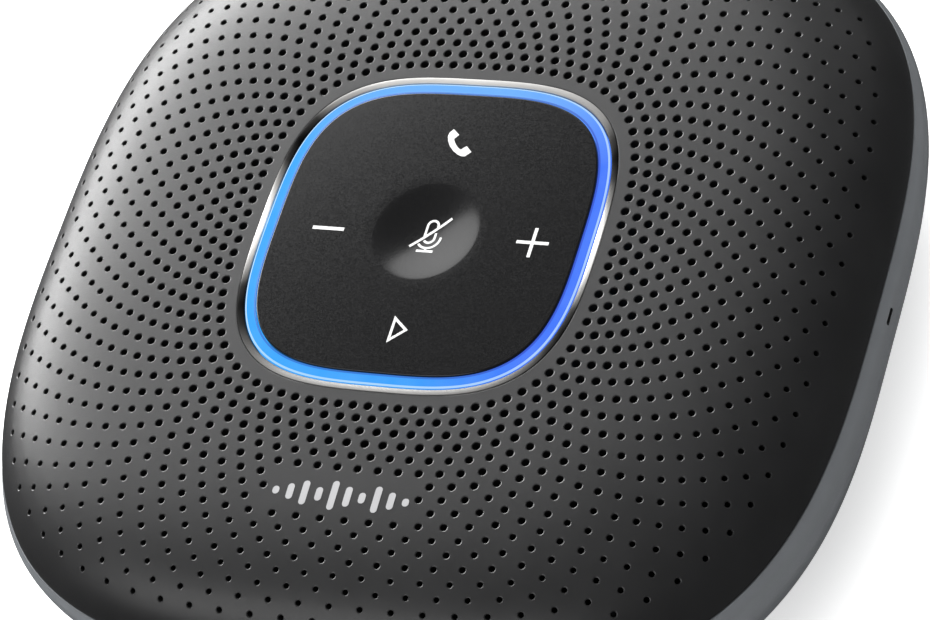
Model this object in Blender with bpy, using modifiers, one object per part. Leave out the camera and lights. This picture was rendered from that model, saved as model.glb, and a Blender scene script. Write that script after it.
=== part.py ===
"""Conference speakerphone: a rounded-square table-top loudspeaker with a rocking control pad.

Front is -Y, right is +X, and the origin is the middle of the plane it stands on. Sizes in this
file are millimetres until they reach a mesh, where MM turns them into metres.
"""

import math

import bmesh
import bpy
from mathutils import Matrix, Vector

MM = 0.001
TAU = 2 * math.pi

# Casing. The plan outline is a superellipse: a square with generously rounded corners.
HALF_WIDTH = 61.5  # the widest section, below the parting line
WIDEST_Z = 20.9
PARTING_Z = 24.0
PARTING_HALF_WIDTH = 60.12
PLATEAU_Z = 34.6  # top of the cover beside the bezel
PARTING_EXPONENT = 3.13
PLATEAU_EXPONENT = 2.71
BASE_EXPONENT = 2.7
CROWN_DRAW = 1.962  # the cover's profile: (width)^CROWN_WIDTH + (height)^CROWN_DRAW = 1
CROWN_WIDTH = 7.363
WALL = 1.8
FLOOR_Z = 4.0
RIM_GAP = 0.25
SHELL_SEGMENTS = 48

# Foot and casing screws
FOOT_INNER = 40.0
FOOT_OUTER = 48.0
FOOT_HEIGHT = 2.3
BOTTOM_Z = 1.6
FOOT_CLEARANCE = 0.4
CASE_SCREW_XY = (25.0, 41.0)
CASE_BOSS_RADIUS = 4.2
CASE_SCREW_SEAT_Z = 14.0

# Centre module
PAD_HALF_WIDTH = 22.05
PAD_EXPONENT = 3.41
PAD_TOP_Z = 34.9
PAD_UNDER_Z = 33.0
LIGHT_INNER = 22.25
LIGHT_OUTER = 23.75
LIGHT_EXPONENT = 3.25
LIGHT_TOP_Z = 34.65
BEZEL_OUTER = 24.8
COVER_HOLE = 25.0
KEY_OFFSET = 14.9  # from the centre to the middle of each outer key
KEYS = {
    "call": (0.0, KEY_OFFSET),
    "play": (0.0, -KEY_OFFSET),
    "volume_up": (KEY_OFFSET, 0.0),
    "volume_down": (-KEY_OFFSET, 0.0),
    "mute": (0.0, 0.0),
}
DIMPLE_RADIUS = 7.4
TILT_AXIS_Z = 32.0
BOARD_TOP_Z = 27.0

# Loudspeaker
DRIVER_FLANGE = 26.2
DRIVER_SCREW_XY = 20.2
FLANGE_TOP_Z = 22.0
DRIVER_SEGMENTS = 24

# Cells, main board and rear ports
CELL_X = 38.5
CELL_Z = 14.6
CELL_RADIUS = 9.25
CELL_LENGTH = 65.0
MAIN_BOARD_SIZE = (40.0, 23.0, 1.2)
MAIN_BOARD_CENTRE = (0.0, 42.0, 12.6)
PORT_Z = 14.9
USB_X = -4.5
JACK_X = 6.0
POWER_X = 15.0
PAIRING_X = -15.0

# Microphones
MICROPHONES = 6
SLIT_Z = 22.1
SLIT_LENGTH = 2.6
SLIT_HEIGHT = 0.45

SMALL_SEGMENTS = 14
SMOOTH_ANGLE = math.radians(35)
TOUCH = 0.1  # what small resting pieces keep between them
QUARTERS = ((1, 1), (-1, 1), (-1, -1), (1, -1))

for old in list(bpy.data.objects):
    bpy.data.objects.remove(old, do_unlink=True)

PARTS = bpy.data.collections.new("conference_speakerphone")
CUTTERS = bpy.data.collections.new("cutters")
for folder in (PARTS, CUTTERS):
    bpy.context.scene.collection.children.link(folder)


# ---------------------------------------------------------------- materials and placing


def material(name, colour, roughness, metallic=0.0):
    made = bpy.data.materials.new(name)
    made.use_nodes = True
    shader = made.node_tree.nodes["Principled BSDF"]
    shader.inputs["Base Color"].default_value = (*colour, 1.0)
    shader.inputs["Roughness"].default_value = roughness
    shader.inputs["Metallic"].default_value = metallic
    return made


COVER_BLACK = material("cover_black", (0.045, 0.045, 0.047), 0.38)
SHELL_GREY = material("shell_grey", (0.11, 0.12, 0.13), 0.42)
PAD_BLACK = material("pad_black", (0.03, 0.03, 0.032), 0.45)
LIGHT_BLUE = material("light_blue", (0.07, 0.38, 0.95), 0.3)
CHROME = material("chrome", (0.85, 0.85, 0.86), 0.08, 1.0)
RUBBER = material("rubber", (0.03, 0.03, 0.03), 0.8)
SILICONE = material("silicone", (0.7, 0.7, 0.68), 0.6)
INNER_PLASTIC = material("inner_plastic", (0.05, 0.05, 0.055), 0.55)
STEEL = material("steel", (0.55, 0.56, 0.58), 0.3, 1.0)
ZINC = material("zinc_plate", (0.6, 0.58, 0.5), 0.4, 1.0)
FERRITE = material("ferrite", (0.06, 0.06, 0.065), 0.6)
PAPER = material("cone_paper", (0.04, 0.04, 0.045), 0.85)
COPPER = material("copper", (0.72, 0.35, 0.18), 0.35, 1.0)
BOARD_GREEN = material("board_green", (0.02, 0.16, 0.08), 0.5)
CELL_WRAP = material("cell_wrap", (0.1, 0.3, 0.55), 0.35)
SCRIM = material("scrim", (0.02, 0.02, 0.02), 0.95)
FLEX = material("flex_amber", (0.55, 0.28, 0.06), 0.4)
WIRE_RED = material("wire_red", (0.5, 0.03, 0.03), 0.5)


def add_object(name, mesh, look):
    mesh.materials.append(look)
    mesh.shade_smooth()
    mesh.set_sharp_from_angle(angle=SMOOTH_ANGLE)
    piece = bpy.data.objects.new(name, mesh)
    PARTS.objects.link(piece)
    return piece


def object_from(name, bm, look):
    bmesh.ops.recalc_face_normals(bm, faces=bm.faces)
    mesh = bpy.data.meshes.new(name)
    bm.to_mesh(mesh)
    bm.free()
    return add_object(name, mesh, look)


def as_tool(tool):
    """Moves a helper solid to the cutters, out of the render."""
    PARTS.objects.unlink(tool)
    CUTTERS.objects.link(tool)
    tool.hide_render = True
    tool.display_type = "WIRE"


def boolean(piece, operation, tools):
    for tool in tools:
        as_tool(tool)
        modifier = piece.modifiers.new(f"{operation.lower()} {tool.name}", "BOOLEAN")
        modifier.operation = operation
        modifier.solver = "EXACT"
        modifier.object = tool
    return piece


def cut(piece, *tools):
    return boolean(piece, "DIFFERENCE", tools)


def join(piece, *tools):
    return boolean(piece, "UNION", tools)


def axis_empty(name, point):
    """An empty on a joint's axis, whose children move with that joint."""
    empty = bpy.data.objects.new(name, None)
    empty.empty_display_size = 5 * MM
    PARTS.objects.link(empty)
    empty.location = Vector(point) * MM
    return empty


def hang(piece, empty, point):
    """Parents a piece to an empty that stands at this point, leaving the piece where it is."""
    piece.parent = empty
    piece.matrix_parent_inverse = Matrix.Translation(-Vector(point) * MM)


# ---------------------------------------------------------------- basic solids


def box(name, size, centre, look, bevel=0.0, turn=0.0):
    bm = bmesh.new()
    bmesh.ops.create_cube(bm, size=1.0, matrix=Matrix.Diagonal((*(Vector(size) * MM), 1.0)))
    if bevel:
        bmesh.ops.bevel(bm, geom=bm.edges[:], offset=bevel * MM, segments=1, affect="EDGES")
    piece = object_from(name, bm, look)
    piece.location = Vector(centre) * MM
    piece.rotation_euler.z = turn
    return piece


def cylinder(name, radius, start, end, look, segments=SMALL_SEGMENTS, end_radius=None):
    """Round bar, or a cone, from one point to another."""
    start, end = Vector(start) * MM, Vector(end) * MM
    run = end - start
    bm = bmesh.new()
    bmesh.ops.create_cone(
        bm,
        cap_ends=True,
        segments=segments,
        radius1=radius * MM,
        radius2=(radius if end_radius is None else end_radius) * MM,
        depth=run.length,
    )
    piece = object_from(name, bm, look)
    piece.location = (start + end) / 2
    piece.rotation_euler = run.to_track_quat("Z", "Y").to_euler()
    return piece


def turned(name, profile, look, closed=False, segments=DRIVER_SEGMENTS):
    """Solid of revolution about Z. The profile of (radius, height) runs down its outer side."""
    mesh = bpy.data.meshes.new(name)
    points = [(radius * MM, 0.0, height * MM) for radius, height in profile]
    edges = [(i, i + 1) for i in range(len(points) - 1)]
    if closed:
        edges.append((len(points) - 1, 0))
    mesh.from_pydata(points, edges, [])
    piece = add_object(name, mesh, look)
    screw = piece.modifiers.new("turn", "SCREW")
    screw.axis = "Z"
    screw.angle = TAU
    screw.steps = segments
    screw.render_steps = segments
    screw.use_merge_vertices = True
    screw.merge_threshold = 0.00001
    return piece


def outline_point(half_width, exponent, angle):
    """Where a superellipse meets the ray at this angle."""
    c, s = math.cos(angle), math.sin(angle)
    reach = half_width * (abs(c) ** exponent + abs(s) ** exponent) ** (-1 / exponent)
    return reach * c, reach * s


def outline(half_width, exponent, segments):
    """Points round a superellipse, closest together at its corners."""
    points = []
    for i in range(segments):
        c, s = math.cos(TAU * i / segments), math.sin(TAU * i / segments)
        x = math.copysign(abs(c) ** (2 / exponent), c)
        y = math.copysign(abs(s) ** (2 / exponent), s)
        points.append((half_width * x, half_width * y))
    return points


def loft(name, sections, look, ring=False, segments=SHELL_SEGMENTS):
    """Solid through superellipse sections (half width, exponent, height), going up its outer side.

    Its first and last sections are capped, or with ring they join, around a hole.
    """
    bm = bmesh.new()
    rows = []
    for half_width, exponent, height in sections:
        points = outline(half_width, exponent, segments)
        rows.append([bm.verts.new(Vector((x, y, height)) * MM) for x, y in points])
    bands = list(zip(rows, rows[1:]))
    if ring:
        bands.append((rows[-1], rows[0]))
    else:
        bm.faces.new(rows[0][::-1])
        bm.faces.new(rows[-1])
    for low, high in bands:
        for i in range(segments):
            j = (i + 1) % segments
            bm.faces.new((low[i], low[j], high[j], high[i]))
    return object_from(name, bm, look)


def wire(name, points, radius, look):
    """A lead along a smooth curve through its points."""
    steps = 4
    ends = [Vector(p) * MM for p in points]
    padded = [2 * ends[0] - ends[1], *ends, 2 * ends[-1] - ends[-2]]
    route = []
    for a, b, c, d in zip(padded, padded[1:], padded[2:], padded[3:]):
        for k in range(steps):
            t = k / steps
            square = (2 * a - 5 * b + 4 * c - d) * t**2
            cube = (3 * b - 3 * c + d - a) * t**3
            route.append((2 * b + (c - a) * t + square + cube) / 2)
    route.append(ends[-1])
    curve = bpy.data.curves.new(name, "CURVE")
    curve.dimensions = "3D"
    curve.bevel_depth = radius * MM
    curve.bevel_resolution = 1
    curve.use_fill_caps = True
    spline = curve.splines.new("POLY")
    spline.points.add(len(route) - 1)
    for point, place in zip(spline.points, route):
        point.co = (*place, 1.0)
    curve.materials.append(look)
    piece = bpy.data.objects.new(name, curve)
    PARTS.objects.link(piece)
    return piece


# ---------------------------------------------------------------- casing


def crown(s):
    """Half width and height of the cover's outside, from the parting line (0) to the plateau (1)."""
    half_width = PARTING_HALF_WIDTH * (1 - s**CROWN_DRAW) ** (1 / CROWN_WIDTH)
    return half_width, PARTING_Z + (PLATEAU_Z - PARTING_Z) * s


def crown_section(s, inset=0.0):
    """The cover's section there, moved inwards square to its surface."""
    step = 1e-4
    half_width, height = crown(s)
    ahead = crown(s + step)
    run = Vector((ahead[0] - half_width, ahead[1] - height)).normalized()
    exponent = PARTING_EXPONENT + (PLATEAU_EXPONENT - PARTING_EXPONENT) * s
    return half_width - inset * run.y, exponent, height + inset * run.x


def casing_outside(swell=0.0):
    """The base casing's outer sections above its flat bottom."""
    return [
        (51.2 + swell, BASE_EXPONENT, BOTTOM_Z),
        (53.7 + swell, BASE_EXPONENT, 2.2),
        (55.3 + swell, BASE_EXPONENT, 3.6),
        (57.4 + swell, 2.82, 9.5),
        (60.1 + swell, 2.93, 15.4),
        (HALF_WIDTH + swell, 3.0, WIDEST_Z),
        (61.1 + swell, 3.07, 22.6),
        (60.25 + swell, PARTING_EXPONENT, PARTING_Z - RIM_GAP),
    ]


def wall_frame(angle, half_width, exponent=3.0):
    """A point of the casing wall and the angle that the wall faces there."""
    x, y = outline_point(half_width, exponent, angle)
    slope_x = math.copysign(abs(x) ** (exponent - 1), x)
    slope_y = math.copysign(abs(y) ** (exponent - 1), y)
    return x, y, math.atan2(slope_y, slope_x)


def corner_posts(name, xy, radius, low, high, look):
    """Four upright round bars, one in each quarter of the plan."""
    posts = []
    for i, (sx, sy) in enumerate(QUARTERS):
        x, y = sx * xy[0], sy * xy[1]
        posts.append(cylinder(f"{name}_{i + 1}", radius, (x, y, low), (x, y, high), look))
    return posts


def base_casing():
    groove_in = FOOT_INNER - FOOT_CLEARANCE
    groove_out = FOOT_OUTER + FOOT_CLEARANCE
    groove_z = FOOT_HEIGHT + 0.3
    foot_groove = [
        (groove_in, BASE_EXPONENT, BOTTOM_Z),
        (groove_in, BASE_EXPONENT, groove_z),
        (groove_out, BASE_EXPONENT, groove_z),
        (groove_out, BASE_EXPONENT, BOTTOM_Z),
    ]
    inside = [
        (58.4, 3.1, PARTING_Z - RIM_GAP),
        (HALF_WIDTH - WALL - 0.8, 3.0, WIDEST_Z),
        (57.0, 2.88, 11.5),
        (53.4, BASE_EXPONENT, 4.8),
        (52.4, BASE_EXPONENT, FLOOR_Z),
    ]
    casing = loft("base_casing", foot_groove + casing_outside() + inside, SHELL_GREY)
    sunk = FLOOR_Z - 0.6
    join(casing, *corner_posts("case_boss", CASE_SCREW_XY, CASE_BOSS_RADIUS, sunk, 22.8, SHELL_GREY))
    driver_xy = (DRIVER_SCREW_XY, DRIVER_SCREW_XY)
    join(casing, *corner_posts("driver_boss", driver_xy, 3.0, sunk, 20.6, SHELL_GREY))
    board_under = MAIN_BOARD_CENTRE[2] - MAIN_BOARD_SIZE[2] / 2 - TOUCH
    board_posts = [
        cylinder(f"board_post_{i}", 2.2, (x, 34.0, sunk), (x, 34.0, board_under), SHELL_GREY)
        for i, x in enumerate((-15.0, 15.0))
    ]
    join(casing, *board_posts)
    cut(casing, *corner_posts("screw_sink", CASE_SCREW_XY, 3.0, 0.0, CASE_SCREW_SEAT_Z, SHELL_GREY))
    cut(casing, *corner_posts("screw_hole", CASE_SCREW_XY, 1.8, 10.0, 25.0, SHELL_GREY))
    cut(casing, *corner_posts("driver_hole", driver_xy, 1.3, 12.0, 22.0, SHELL_GREY))
    cut(casing, *rear_cutters(), *slit_cutters())
    return casing


def rear_cutters():
    """The holes in the rear wall for the sockets and the two buttons."""
    reach = (50.0, 70.0)
    usb = box("usb_slot", (9.8, 20.0, 4.0), (USB_X, 60.0, PORT_Z), SHELL_GREY, bevel=1.2)
    start, end = [(JACK_X, y, PORT_Z + 0.5) for y in reach]
    cutters = [usb, cylinder("jack_hole", 3.1, start, end, SHELL_GREY)]
    for i, x in enumerate((POWER_X, PAIRING_X)):
        cutters.append(pill(f"button_hole_{i}", x, 8.6, 4.2, reach, SHELL_GREY))
    return cutters


def slit_cutters():
    """One slit through the wall for each microphone, evenly round the casing."""
    cutters = []
    for i in range(MICROPHONES):
        x, y, facing = wall_frame(TAU * i / MICROPHONES, HALF_WIDTH - WALL / 2)
        size = (8.0, SLIT_LENGTH, SLIT_HEIGHT)
        cutters.append(box(f"slit_{i + 1}", size, (x, y, SLIT_Z), SHELL_GREY, turn=facing))
    return cutters


def pill(name, x, length, height, reach, look):
    """Flat-sided bar with round ends, lying along Y."""
    bm = bmesh.new()
    radius = height / 2
    side = length / 2 - radius
    steps = 8
    outline = []
    for middle, first in ((side, -math.pi / 2), (-side, math.pi / 2)):
        for k in range(steps + 1):
            angle = first + math.pi * k / steps
            outline.append((middle + radius * math.cos(angle), radius * math.sin(angle)))
    near = [bm.verts.new(Vector((x + u, reach[0], PORT_Z + v)) * MM) for u, v in outline]
    face = bm.faces.new(near)
    grown = bmesh.ops.extrude_face_region(bm, geom=[face])
    moved = [item for item in grown["geom"] if isinstance(item, bmesh.types.BMVert)]
    bmesh.ops.translate(bm, verts=moved, vec=(0, (reach[1] - reach[0]) * MM, 0))
    return object_from(name, bm, look)


def top_cover():
    """The cover over the loudspeaker, with screw bosses inside and a hole for the centre module."""
    thickness = 1.6
    heights = (0.0, 0.28, 0.52, 0.72, 0.86, 0.94, 0.98, 0.996)
    outside = [crown_section(s) for s in heights]
    inside = [crown_section(s, thickness) for s in reversed(heights) if s > 0]
    sections = [
        *outside,
        (COVER_HOLE, LIGHT_EXPONENT, PLATEAU_Z - 0.02),
        (COVER_HOLE, LIGHT_EXPONENT, PLATEAU_Z - thickness),
        *inside,
        (PARTING_HALF_WIDTH - thickness, PARTING_EXPONENT, PARTING_Z),
    ]
    cover = loft("top_cover", sections, COVER_BLACK, ring=True)
    join(cover, *corner_posts("cover_boss", CASE_SCREW_XY, 3.6, 23.1, 33.0, COVER_BLACK))
    cut(cover, *corner_posts("cover_boss_hole", CASE_SCREW_XY, 1.8, 22.0, 29.0, COVER_BLACK))
    return cover


def acoustic_scrim():
    """The cloth layer behind the cover's holes, which the cover's bosses pass through."""
    heights = (0.5, 0.8, 0.94, 0.99)
    outside = [crown_section(s, 2.0) for s in heights]
    inside = [crown_section(s, 2.4) for s in reversed(heights)]
    scrim = loft("acoustic_scrim", outside + inside, SCRIM, ring=True)
    cut(scrim, *corner_posts("scrim_hole", CASE_SCREW_XY, 4.2, 20.0, 36.0, SCRIM))
    return scrim


def foot_ring():
    soft = 0.5
    sections = [
        (FOOT_OUTER - soft, BASE_EXPONENT, 0.0),
        (FOOT_OUTER, BASE_EXPONENT, soft),
        (FOOT_OUTER, BASE_EXPONENT, FOOT_HEIGHT),
        (FOOT_INNER, BASE_EXPONENT, FOOT_HEIGHT),
        (FOOT_INNER, BASE_EXPONENT, soft),
        (FOOT_INNER + soft, BASE_EXPONENT, 0.0),
    ]
    return loft("foot_ring", sections, RUBBER, ring=True)


def screw(name, x, y, head_z, tip_z, head_radius, head_height, shank_radius, head_up):
    """Pan-head screw with a cross recess. The head's seat is at head_z."""
    away = 1 if head_up else -1
    shank_start = head_z + head_height * away / 2
    shank = cylinder(name, shank_radius, (x, y, shank_start), (x, y, tip_z), STEEL, segments=12)
    head = cylinder(
        f"{name}_head",
        head_radius,
        (x, y, head_z),
        (x, y, head_z + head_height * away),
        STEEL,
        segments=16,
        end_radius=head_radius * 0.8,
    )
    join(shank, head)
    top = head_z + head_height * away
    arms = ((head_radius * 1.1, 0.5), (0.5, head_radius * 1.1))
    for i, (length, width) in enumerate(arms):
        cut(shank, box(f"{name}_recess_{i}", (length, width, 1.2), (x, y, top), STEEL))
    return shank


def casing_screws():
    for i, (sx, sy) in enumerate(QUARTERS):
        x, y = sx * CASE_SCREW_XY[0], sy * CASE_SCREW_XY[1]
        screw(f"case_screw_{i + 1}", x, y, CASE_SCREW_SEAT_Z - TOUCH, 27.5, 2.6, 1.7, 1.45, False)


# ---------------------------------------------------------------- centre module


def centre_bezel():
    sections = [
        (BEZEL_OUTER, LIGHT_EXPONENT, 33.3),
        (BEZEL_OUTER, LIGHT_EXPONENT, 34.85),
        (24.65, LIGHT_EXPONENT, 35.0),
        (24.45, LIGHT_EXPONENT, 34.95),
        (24.0, LIGHT_EXPONENT, 34.7),
        (23.9, LIGHT_EXPONENT, 34.5),
        (23.9, LIGHT_EXPONENT, 33.3),
    ]
    return loft("centre_bezel", sections, CHROME, ring=True)


def light_ring():
    """Clear guide that lifts the light of the board's diodes to the surface."""
    low = 28.3
    soft = 0.25
    sections = [
        (LIGHT_OUTER - soft, LIGHT_EXPONENT, low),
        (LIGHT_OUTER, LIGHT_EXPONENT, low + soft),
        (LIGHT_OUTER, LIGHT_EXPONENT, LIGHT_TOP_Z - soft),
        (LIGHT_OUTER - soft, LIGHT_EXPONENT, LIGHT_TOP_Z),
        (LIGHT_INNER + soft, PAD_EXPONENT, LIGHT_TOP_Z - 0.05),
        (LIGHT_INNER, PAD_EXPONENT, LIGHT_TOP_Z - soft),
        (LIGHT_INNER, PAD_EXPONENT, low),
    ]
    return loft("light_ring", sections, LIGHT_BLUE, ring=True)


def control_cup():
    """The module's housing: its flange lies under the cover, around the hole."""
    outer = BEZEL_OUTER
    exponent = LIGHT_EXPONENT
    sections = [
        (outer - 1.0, exponent, 24.3),
        (outer, exponent, 25.2),
        (outer, exponent, 31.4),
        (outer + 2.2, exponent, 31.4),
        (outer + 2.2, exponent, 32.6),
        (outer, exponent, 32.6),
        (outer, exponent, 33.0),
        (24.1, exponent, 33.0),
        (24.1, exponent, 25.7),
    ]
    cup = loft("control_cup", sections, INNER_PLASTIC)
    return cut(cup, box("ribbon_slot", (11.0, 3.0, 4.0), (0, 20.6, 25.0), INNER_PLASTIC))


def control_board():
    """Round-cornered circuit board with its light-ring diodes along the edge."""
    half_width, under = 23.7, 25.9
    sections = [(half_width, LIGHT_EXPONENT, z) for z in (under, BOARD_TOP_Z)]
    board = loft("control_board", sections, BOARD_GREEN)
    for i in range(8):
        x, y = outline_point(22.6, LIGHT_EXPONENT, TAU * i / 8)
        join(board, box(f"diode_{i + 1}", (1.6, 1.6, 1.2), (x, y, BOARD_TOP_Z + 0.4), SILICONE))
    return cut(board, box("ribbon_notch", (10.0, 1.6, 4.0), (0, 20.6, 26.0), BOARD_GREEN))


def key_switches():
    low = BOARD_TOP_Z + TOUCH
    for name, (x, y) in KEYS.items():
        switch = box(f"key_switch_{name}", (3.6, 3.6, 1.2), (x, y, low + 0.6), STEEL, bevel=0.2)
        start, end = (x, y, low + 0.5), (x, y, low + 1.7)
        join(switch, cylinder(f"plunger_{name}", 0.9, start, end, INNER_PLASTIC))


def key_mat():
    """Silicone mat with a hollow dome over each switch, which springs the pad back."""
    low = BOARD_TOP_Z + TOUCH

    def dome(name, foot, top, place, start, end):
        x, y = place
        ends = ((x, y, low + start), (x, y, low + end))
        return cylinder(name, foot, *ends, SILICONE, segments=16, end_radius=top)

    mat = cylinder("key_mat", 18.8, (0, 0, low), (0, 0, low + 0.6), SILICONE, segments=36)
    for name, place in KEYS.items():
        join(mat, dome(f"dome_{name}", 3.4, 2.6, place, 0.2, 2.3))
    for name, place in KEYS.items():
        cut(mat, dome(f"dome_hollow_{name}", 2.9, 2.7, place, -1.0, 1.9))
    return mat


def key_guide_frame():
    """Plate over the mat, whose holes guide the pad's five feet, on four legs."""
    low, high = 29.8, 30.3
    sections = [(21.7, PAD_EXPONENT, z) for z in (low, high)]
    frame = loft("key_guide_frame", sections, INNER_PLASTIC)
    leg_foot = BOARD_TOP_Z + TOUCH
    join(frame, *corner_posts("guide_leg", (15.6, 15.6), 1.4, leg_foot, low + 0.3, INNER_PLASTIC))
    for name, (x, y) in KEYS.items():
        ends = ((x, y, low - 1.8), (x, y, high + 1.7))
        cut(frame, cylinder(f"guide_hole_{name}", 2.1, *ends, INNER_PLASTIC))
    return frame


def pad_guide_post():
    """The pad's middle foot: it slides straight down onto the mute switch."""
    post = cylinder("pad_guide_post", 1.6, (0, 0, 29.7), (0, 0, 32.6), INNER_PLASTIC)
    ends = ((-3.3, 0, TILT_AXIS_Z), (3.3, 0, TILT_AXIS_Z))
    return join(post, cylinder("post_pin", 0.45, *ends, INNER_PLASTIC, segments=10))


def pad_tilt_ring():
    """Ring that tips front to back on the post and carries the pad, which tips side to side."""
    profile = [(4.1, 32.75), (4.1, 31.2), (2.4, 31.2), (2.4, 32.75)]
    ring = turned("pad_tilt_ring", profile, INNER_PLASTIC, closed=True, segments=20)
    for i, side in enumerate((1, -1)):
        start, end = (0, 3.2 * side, TILT_AXIS_Z), (0, 5.7 * side, TILT_AXIS_Z)
        join(ring, cylinder(f"ring_pin_{i}", 0.45, start, end, INNER_PLASTIC, segments=10))
    hole = cylinder("ring_hole", 0.6, (-6, 0, TILT_AXIS_Z), (6, 0, TILT_AXIS_Z), INNER_PLASTIC, segments=10)
    return cut(ring, hole)


def control_pad():
    """The one-piece pad, dished at its centre, with a foot over each outer switch."""
    edge = PAD_HALF_WIDTH
    dish = PAD_TOP_Z
    sections = [
        (edge - 0.3, PAD_EXPONENT, PAD_UNDER_Z),
        (edge, PAD_EXPONENT, PAD_UNDER_Z + 0.2),
        (edge, PAD_EXPONENT, dish - 0.35),
        (edge - 0.15, PAD_EXPONENT, dish - 0.12),
        (edge - 0.5, PAD_EXPONENT, dish),
        (DIMPLE_RADIUS, 2.0, dish),
        (DIMPLE_RADIUS * 0.75, 2.0, dish - 0.4),
        (DIMPLE_RADIUS * 0.5, 2.0, dish - 0.68),
        (DIMPLE_RADIUS * 0.25, 2.0, dish - 0.85),
    ]
    pad = loft("control_pad", sections, PAD_BLACK)
    for name, (x, y) in KEYS.items():
        if name != "mute":
            ends = ((x, y, 29.7), (x, y, PAD_UNDER_Z + 0.4))
            join(pad, cylinder(f"pad_foot_{name}", 1.5, *ends, PAD_BLACK))
    for i, side in enumerate((1, -1)):
        join(pad, box(f"pad_ear_{i}", (2.6, 1.8, 2.4), (0, 5.5 * side, 32.2), PAD_BLACK))
    hole = cylinder("pad_ear_hole", 0.7, (0, -7, TILT_AXIS_Z), (0, 7, TILT_AXIS_Z), PAD_BLACK, segments=10)
    return cut(pad, hole)


def centre_module():
    centre_bezel()
    light_ring()
    control_cup()
    control_board()
    key_switches()
    key_mat()
    key_guide_frame()
    pivot = (0, 0, TILT_AXIS_Z)
    press = axis_empty("pad_press_axis", pivot)
    tip_front = axis_empty("pad_front_tilt_axis", pivot)
    tip_side = axis_empty("pad_side_tilt_axis", pivot)
    hang(tip_front, press, pivot)
    hang(tip_side, tip_front, pivot)
    hang(pad_guide_post(), press, pivot)
    hang(pad_tilt_ring(), tip_front, pivot)
    hang(control_pad(), tip_side, pivot)


# ---------------------------------------------------------------- loudspeaker


def loudspeaker():
    """A small moving-coil driver facing up, screwed to four bosses of the base casing."""
    turned("driver_yoke", [(0, 15.2), (6.0, 15.2), (6.0, 8.2), (16.2, 8.2), (16.2, 5.2), (0, 5.2)], ZINC)
    turned("driver_magnet", [(15.6, 12.9), (15.6, 8.3), (8.8, 8.3), (8.8, 12.9)], FERRITE, closed=True)
    turned("driver_top_plate", [(15.2, 15.6), (15.2, 13.0), (7.4, 13.0), (7.4, 15.6)], ZINC, closed=True)
    driver_basket()
    gasket = [(26.0, 22.7), (26.0, 22.15), (25.1, 22.15), (25.1, 22.7)]
    turned("driver_gasket", gasket, RUBBER, closed=True)
    middle = (0, 0, 20.0)
    stroke = axis_empty("cone_stroke_axis", middle)
    coil = turned("voice_coil", [(7.0, 19.6), (7.0, 11.6), (6.4, 11.6), (6.4, 19.6)], COPPER, closed=True)
    cone_line = [(20.6, 21.3), (12.0, 19.6), (7.2, 17.9), (7.2, 18.5), (12.0, 20.2), (20.6, 21.9)]
    cone = turned("speaker_cone", cone_line, PAPER, closed=True)
    cap = turned("dust_cap", dome_profile(8.6, 19.9, 1.8, 0.4), PAPER)
    spider()
    surround()
    for piece in (coil, cone, cap):
        hang(piece, stroke, middle)
    for i, (sx, sy) in enumerate(QUARTERS):
        x, y = sx * DRIVER_SCREW_XY, sy * DRIVER_SCREW_XY
        screw(f"driver_screw_{i + 1}", x, y, FLANGE_TOP_Z + TOUCH, 14.5, 1.9, 1.0, 1.0, True)


def driver_basket():
    """Steel frame: a square flange with round corners, over four ribs that hold the magnet."""
    sections = [
        (15.4, 2.0, 15.8),
        (15.8, 2.0, 16.6),
        (22.4, 2.0, 19.4),
        (22.9, 2.0, 20.9),
        (DRIVER_FLANGE, 4.0, 20.9),
        (DRIVER_FLANGE, 4.0, FLANGE_TOP_Z),
        (22.2, 2.0, FLANGE_TOP_Z),
        (21.9, 2.0, 20.3),
        (15.0, 2.0, 17.2),
        (14.6, 2.0, 16.6),
        (9.4, 2.0, 16.6),
        (9.4, 2.0, 15.8),
    ]
    basket = loft("driver_basket", sections, STEEL, ring=True, segments=DRIVER_SEGMENTS)
    cut(basket, box("window_x", (60.0, 13.0, 2.2), (0, 0, 18.6), STEEL))
    cut(basket, box("window_y", (13.0, 60.0, 2.2), (0, 0, 18.6), STEEL))
    flange_holes = corner_posts("flange_hole", (DRIVER_SCREW_XY, DRIVER_SCREW_XY), 1.3, 20.0, 23.0, STEEL)
    return cut(basket, *flange_holes)


def dome_profile(radius, base_z, rise, thickness):
    """A thin dome: over its outside from the axis, and back along its inside."""
    steps = 4
    over = [(radius * k / steps, base_z + rise * (1 - (k / steps) ** 2)) for k in range(steps + 1)]
    under = [(r * 0.94, z - thickness) for r, z in reversed(over)]
    return over + under


def spider():
    """Corrugated disc that centres the coil."""
    inner, outer, waves, steps = 7.4, 13.6, 2, 8
    over = []
    for k in range(steps + 1):
        t = k / steps
        over.append((inner + (outer - inner) * t, 17.35 + 0.3 * math.sin(TAU * waves * t)))
    under = [(r, z - 0.35) for r, z in reversed(over)]
    return turned("spider", over + under, PAPER, closed=True)


def surround():
    """Rubber half-roll between the cone and the flange."""
    inner, outer, steps = 21.0, 24.6, 6
    middle, radius = (inner + outer) / 2, (outer - inner) / 2
    base = FLANGE_TOP_Z + TOUCH
    over = []
    under = []
    for k in range(steps + 1):
        angle = math.pi * (1 - k / steps)
        over.append((middle + radius * math.cos(angle), base + 0.4 + 0.7 * math.sin(angle)))
        under.append((middle + radius * math.cos(angle), base + 0.7 * math.sin(angle)))
    return turned("cone_surround", over + under[::-1], RUBBER, closed=True)


# ---------------------------------------------------------------- power, boards and ports


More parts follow.
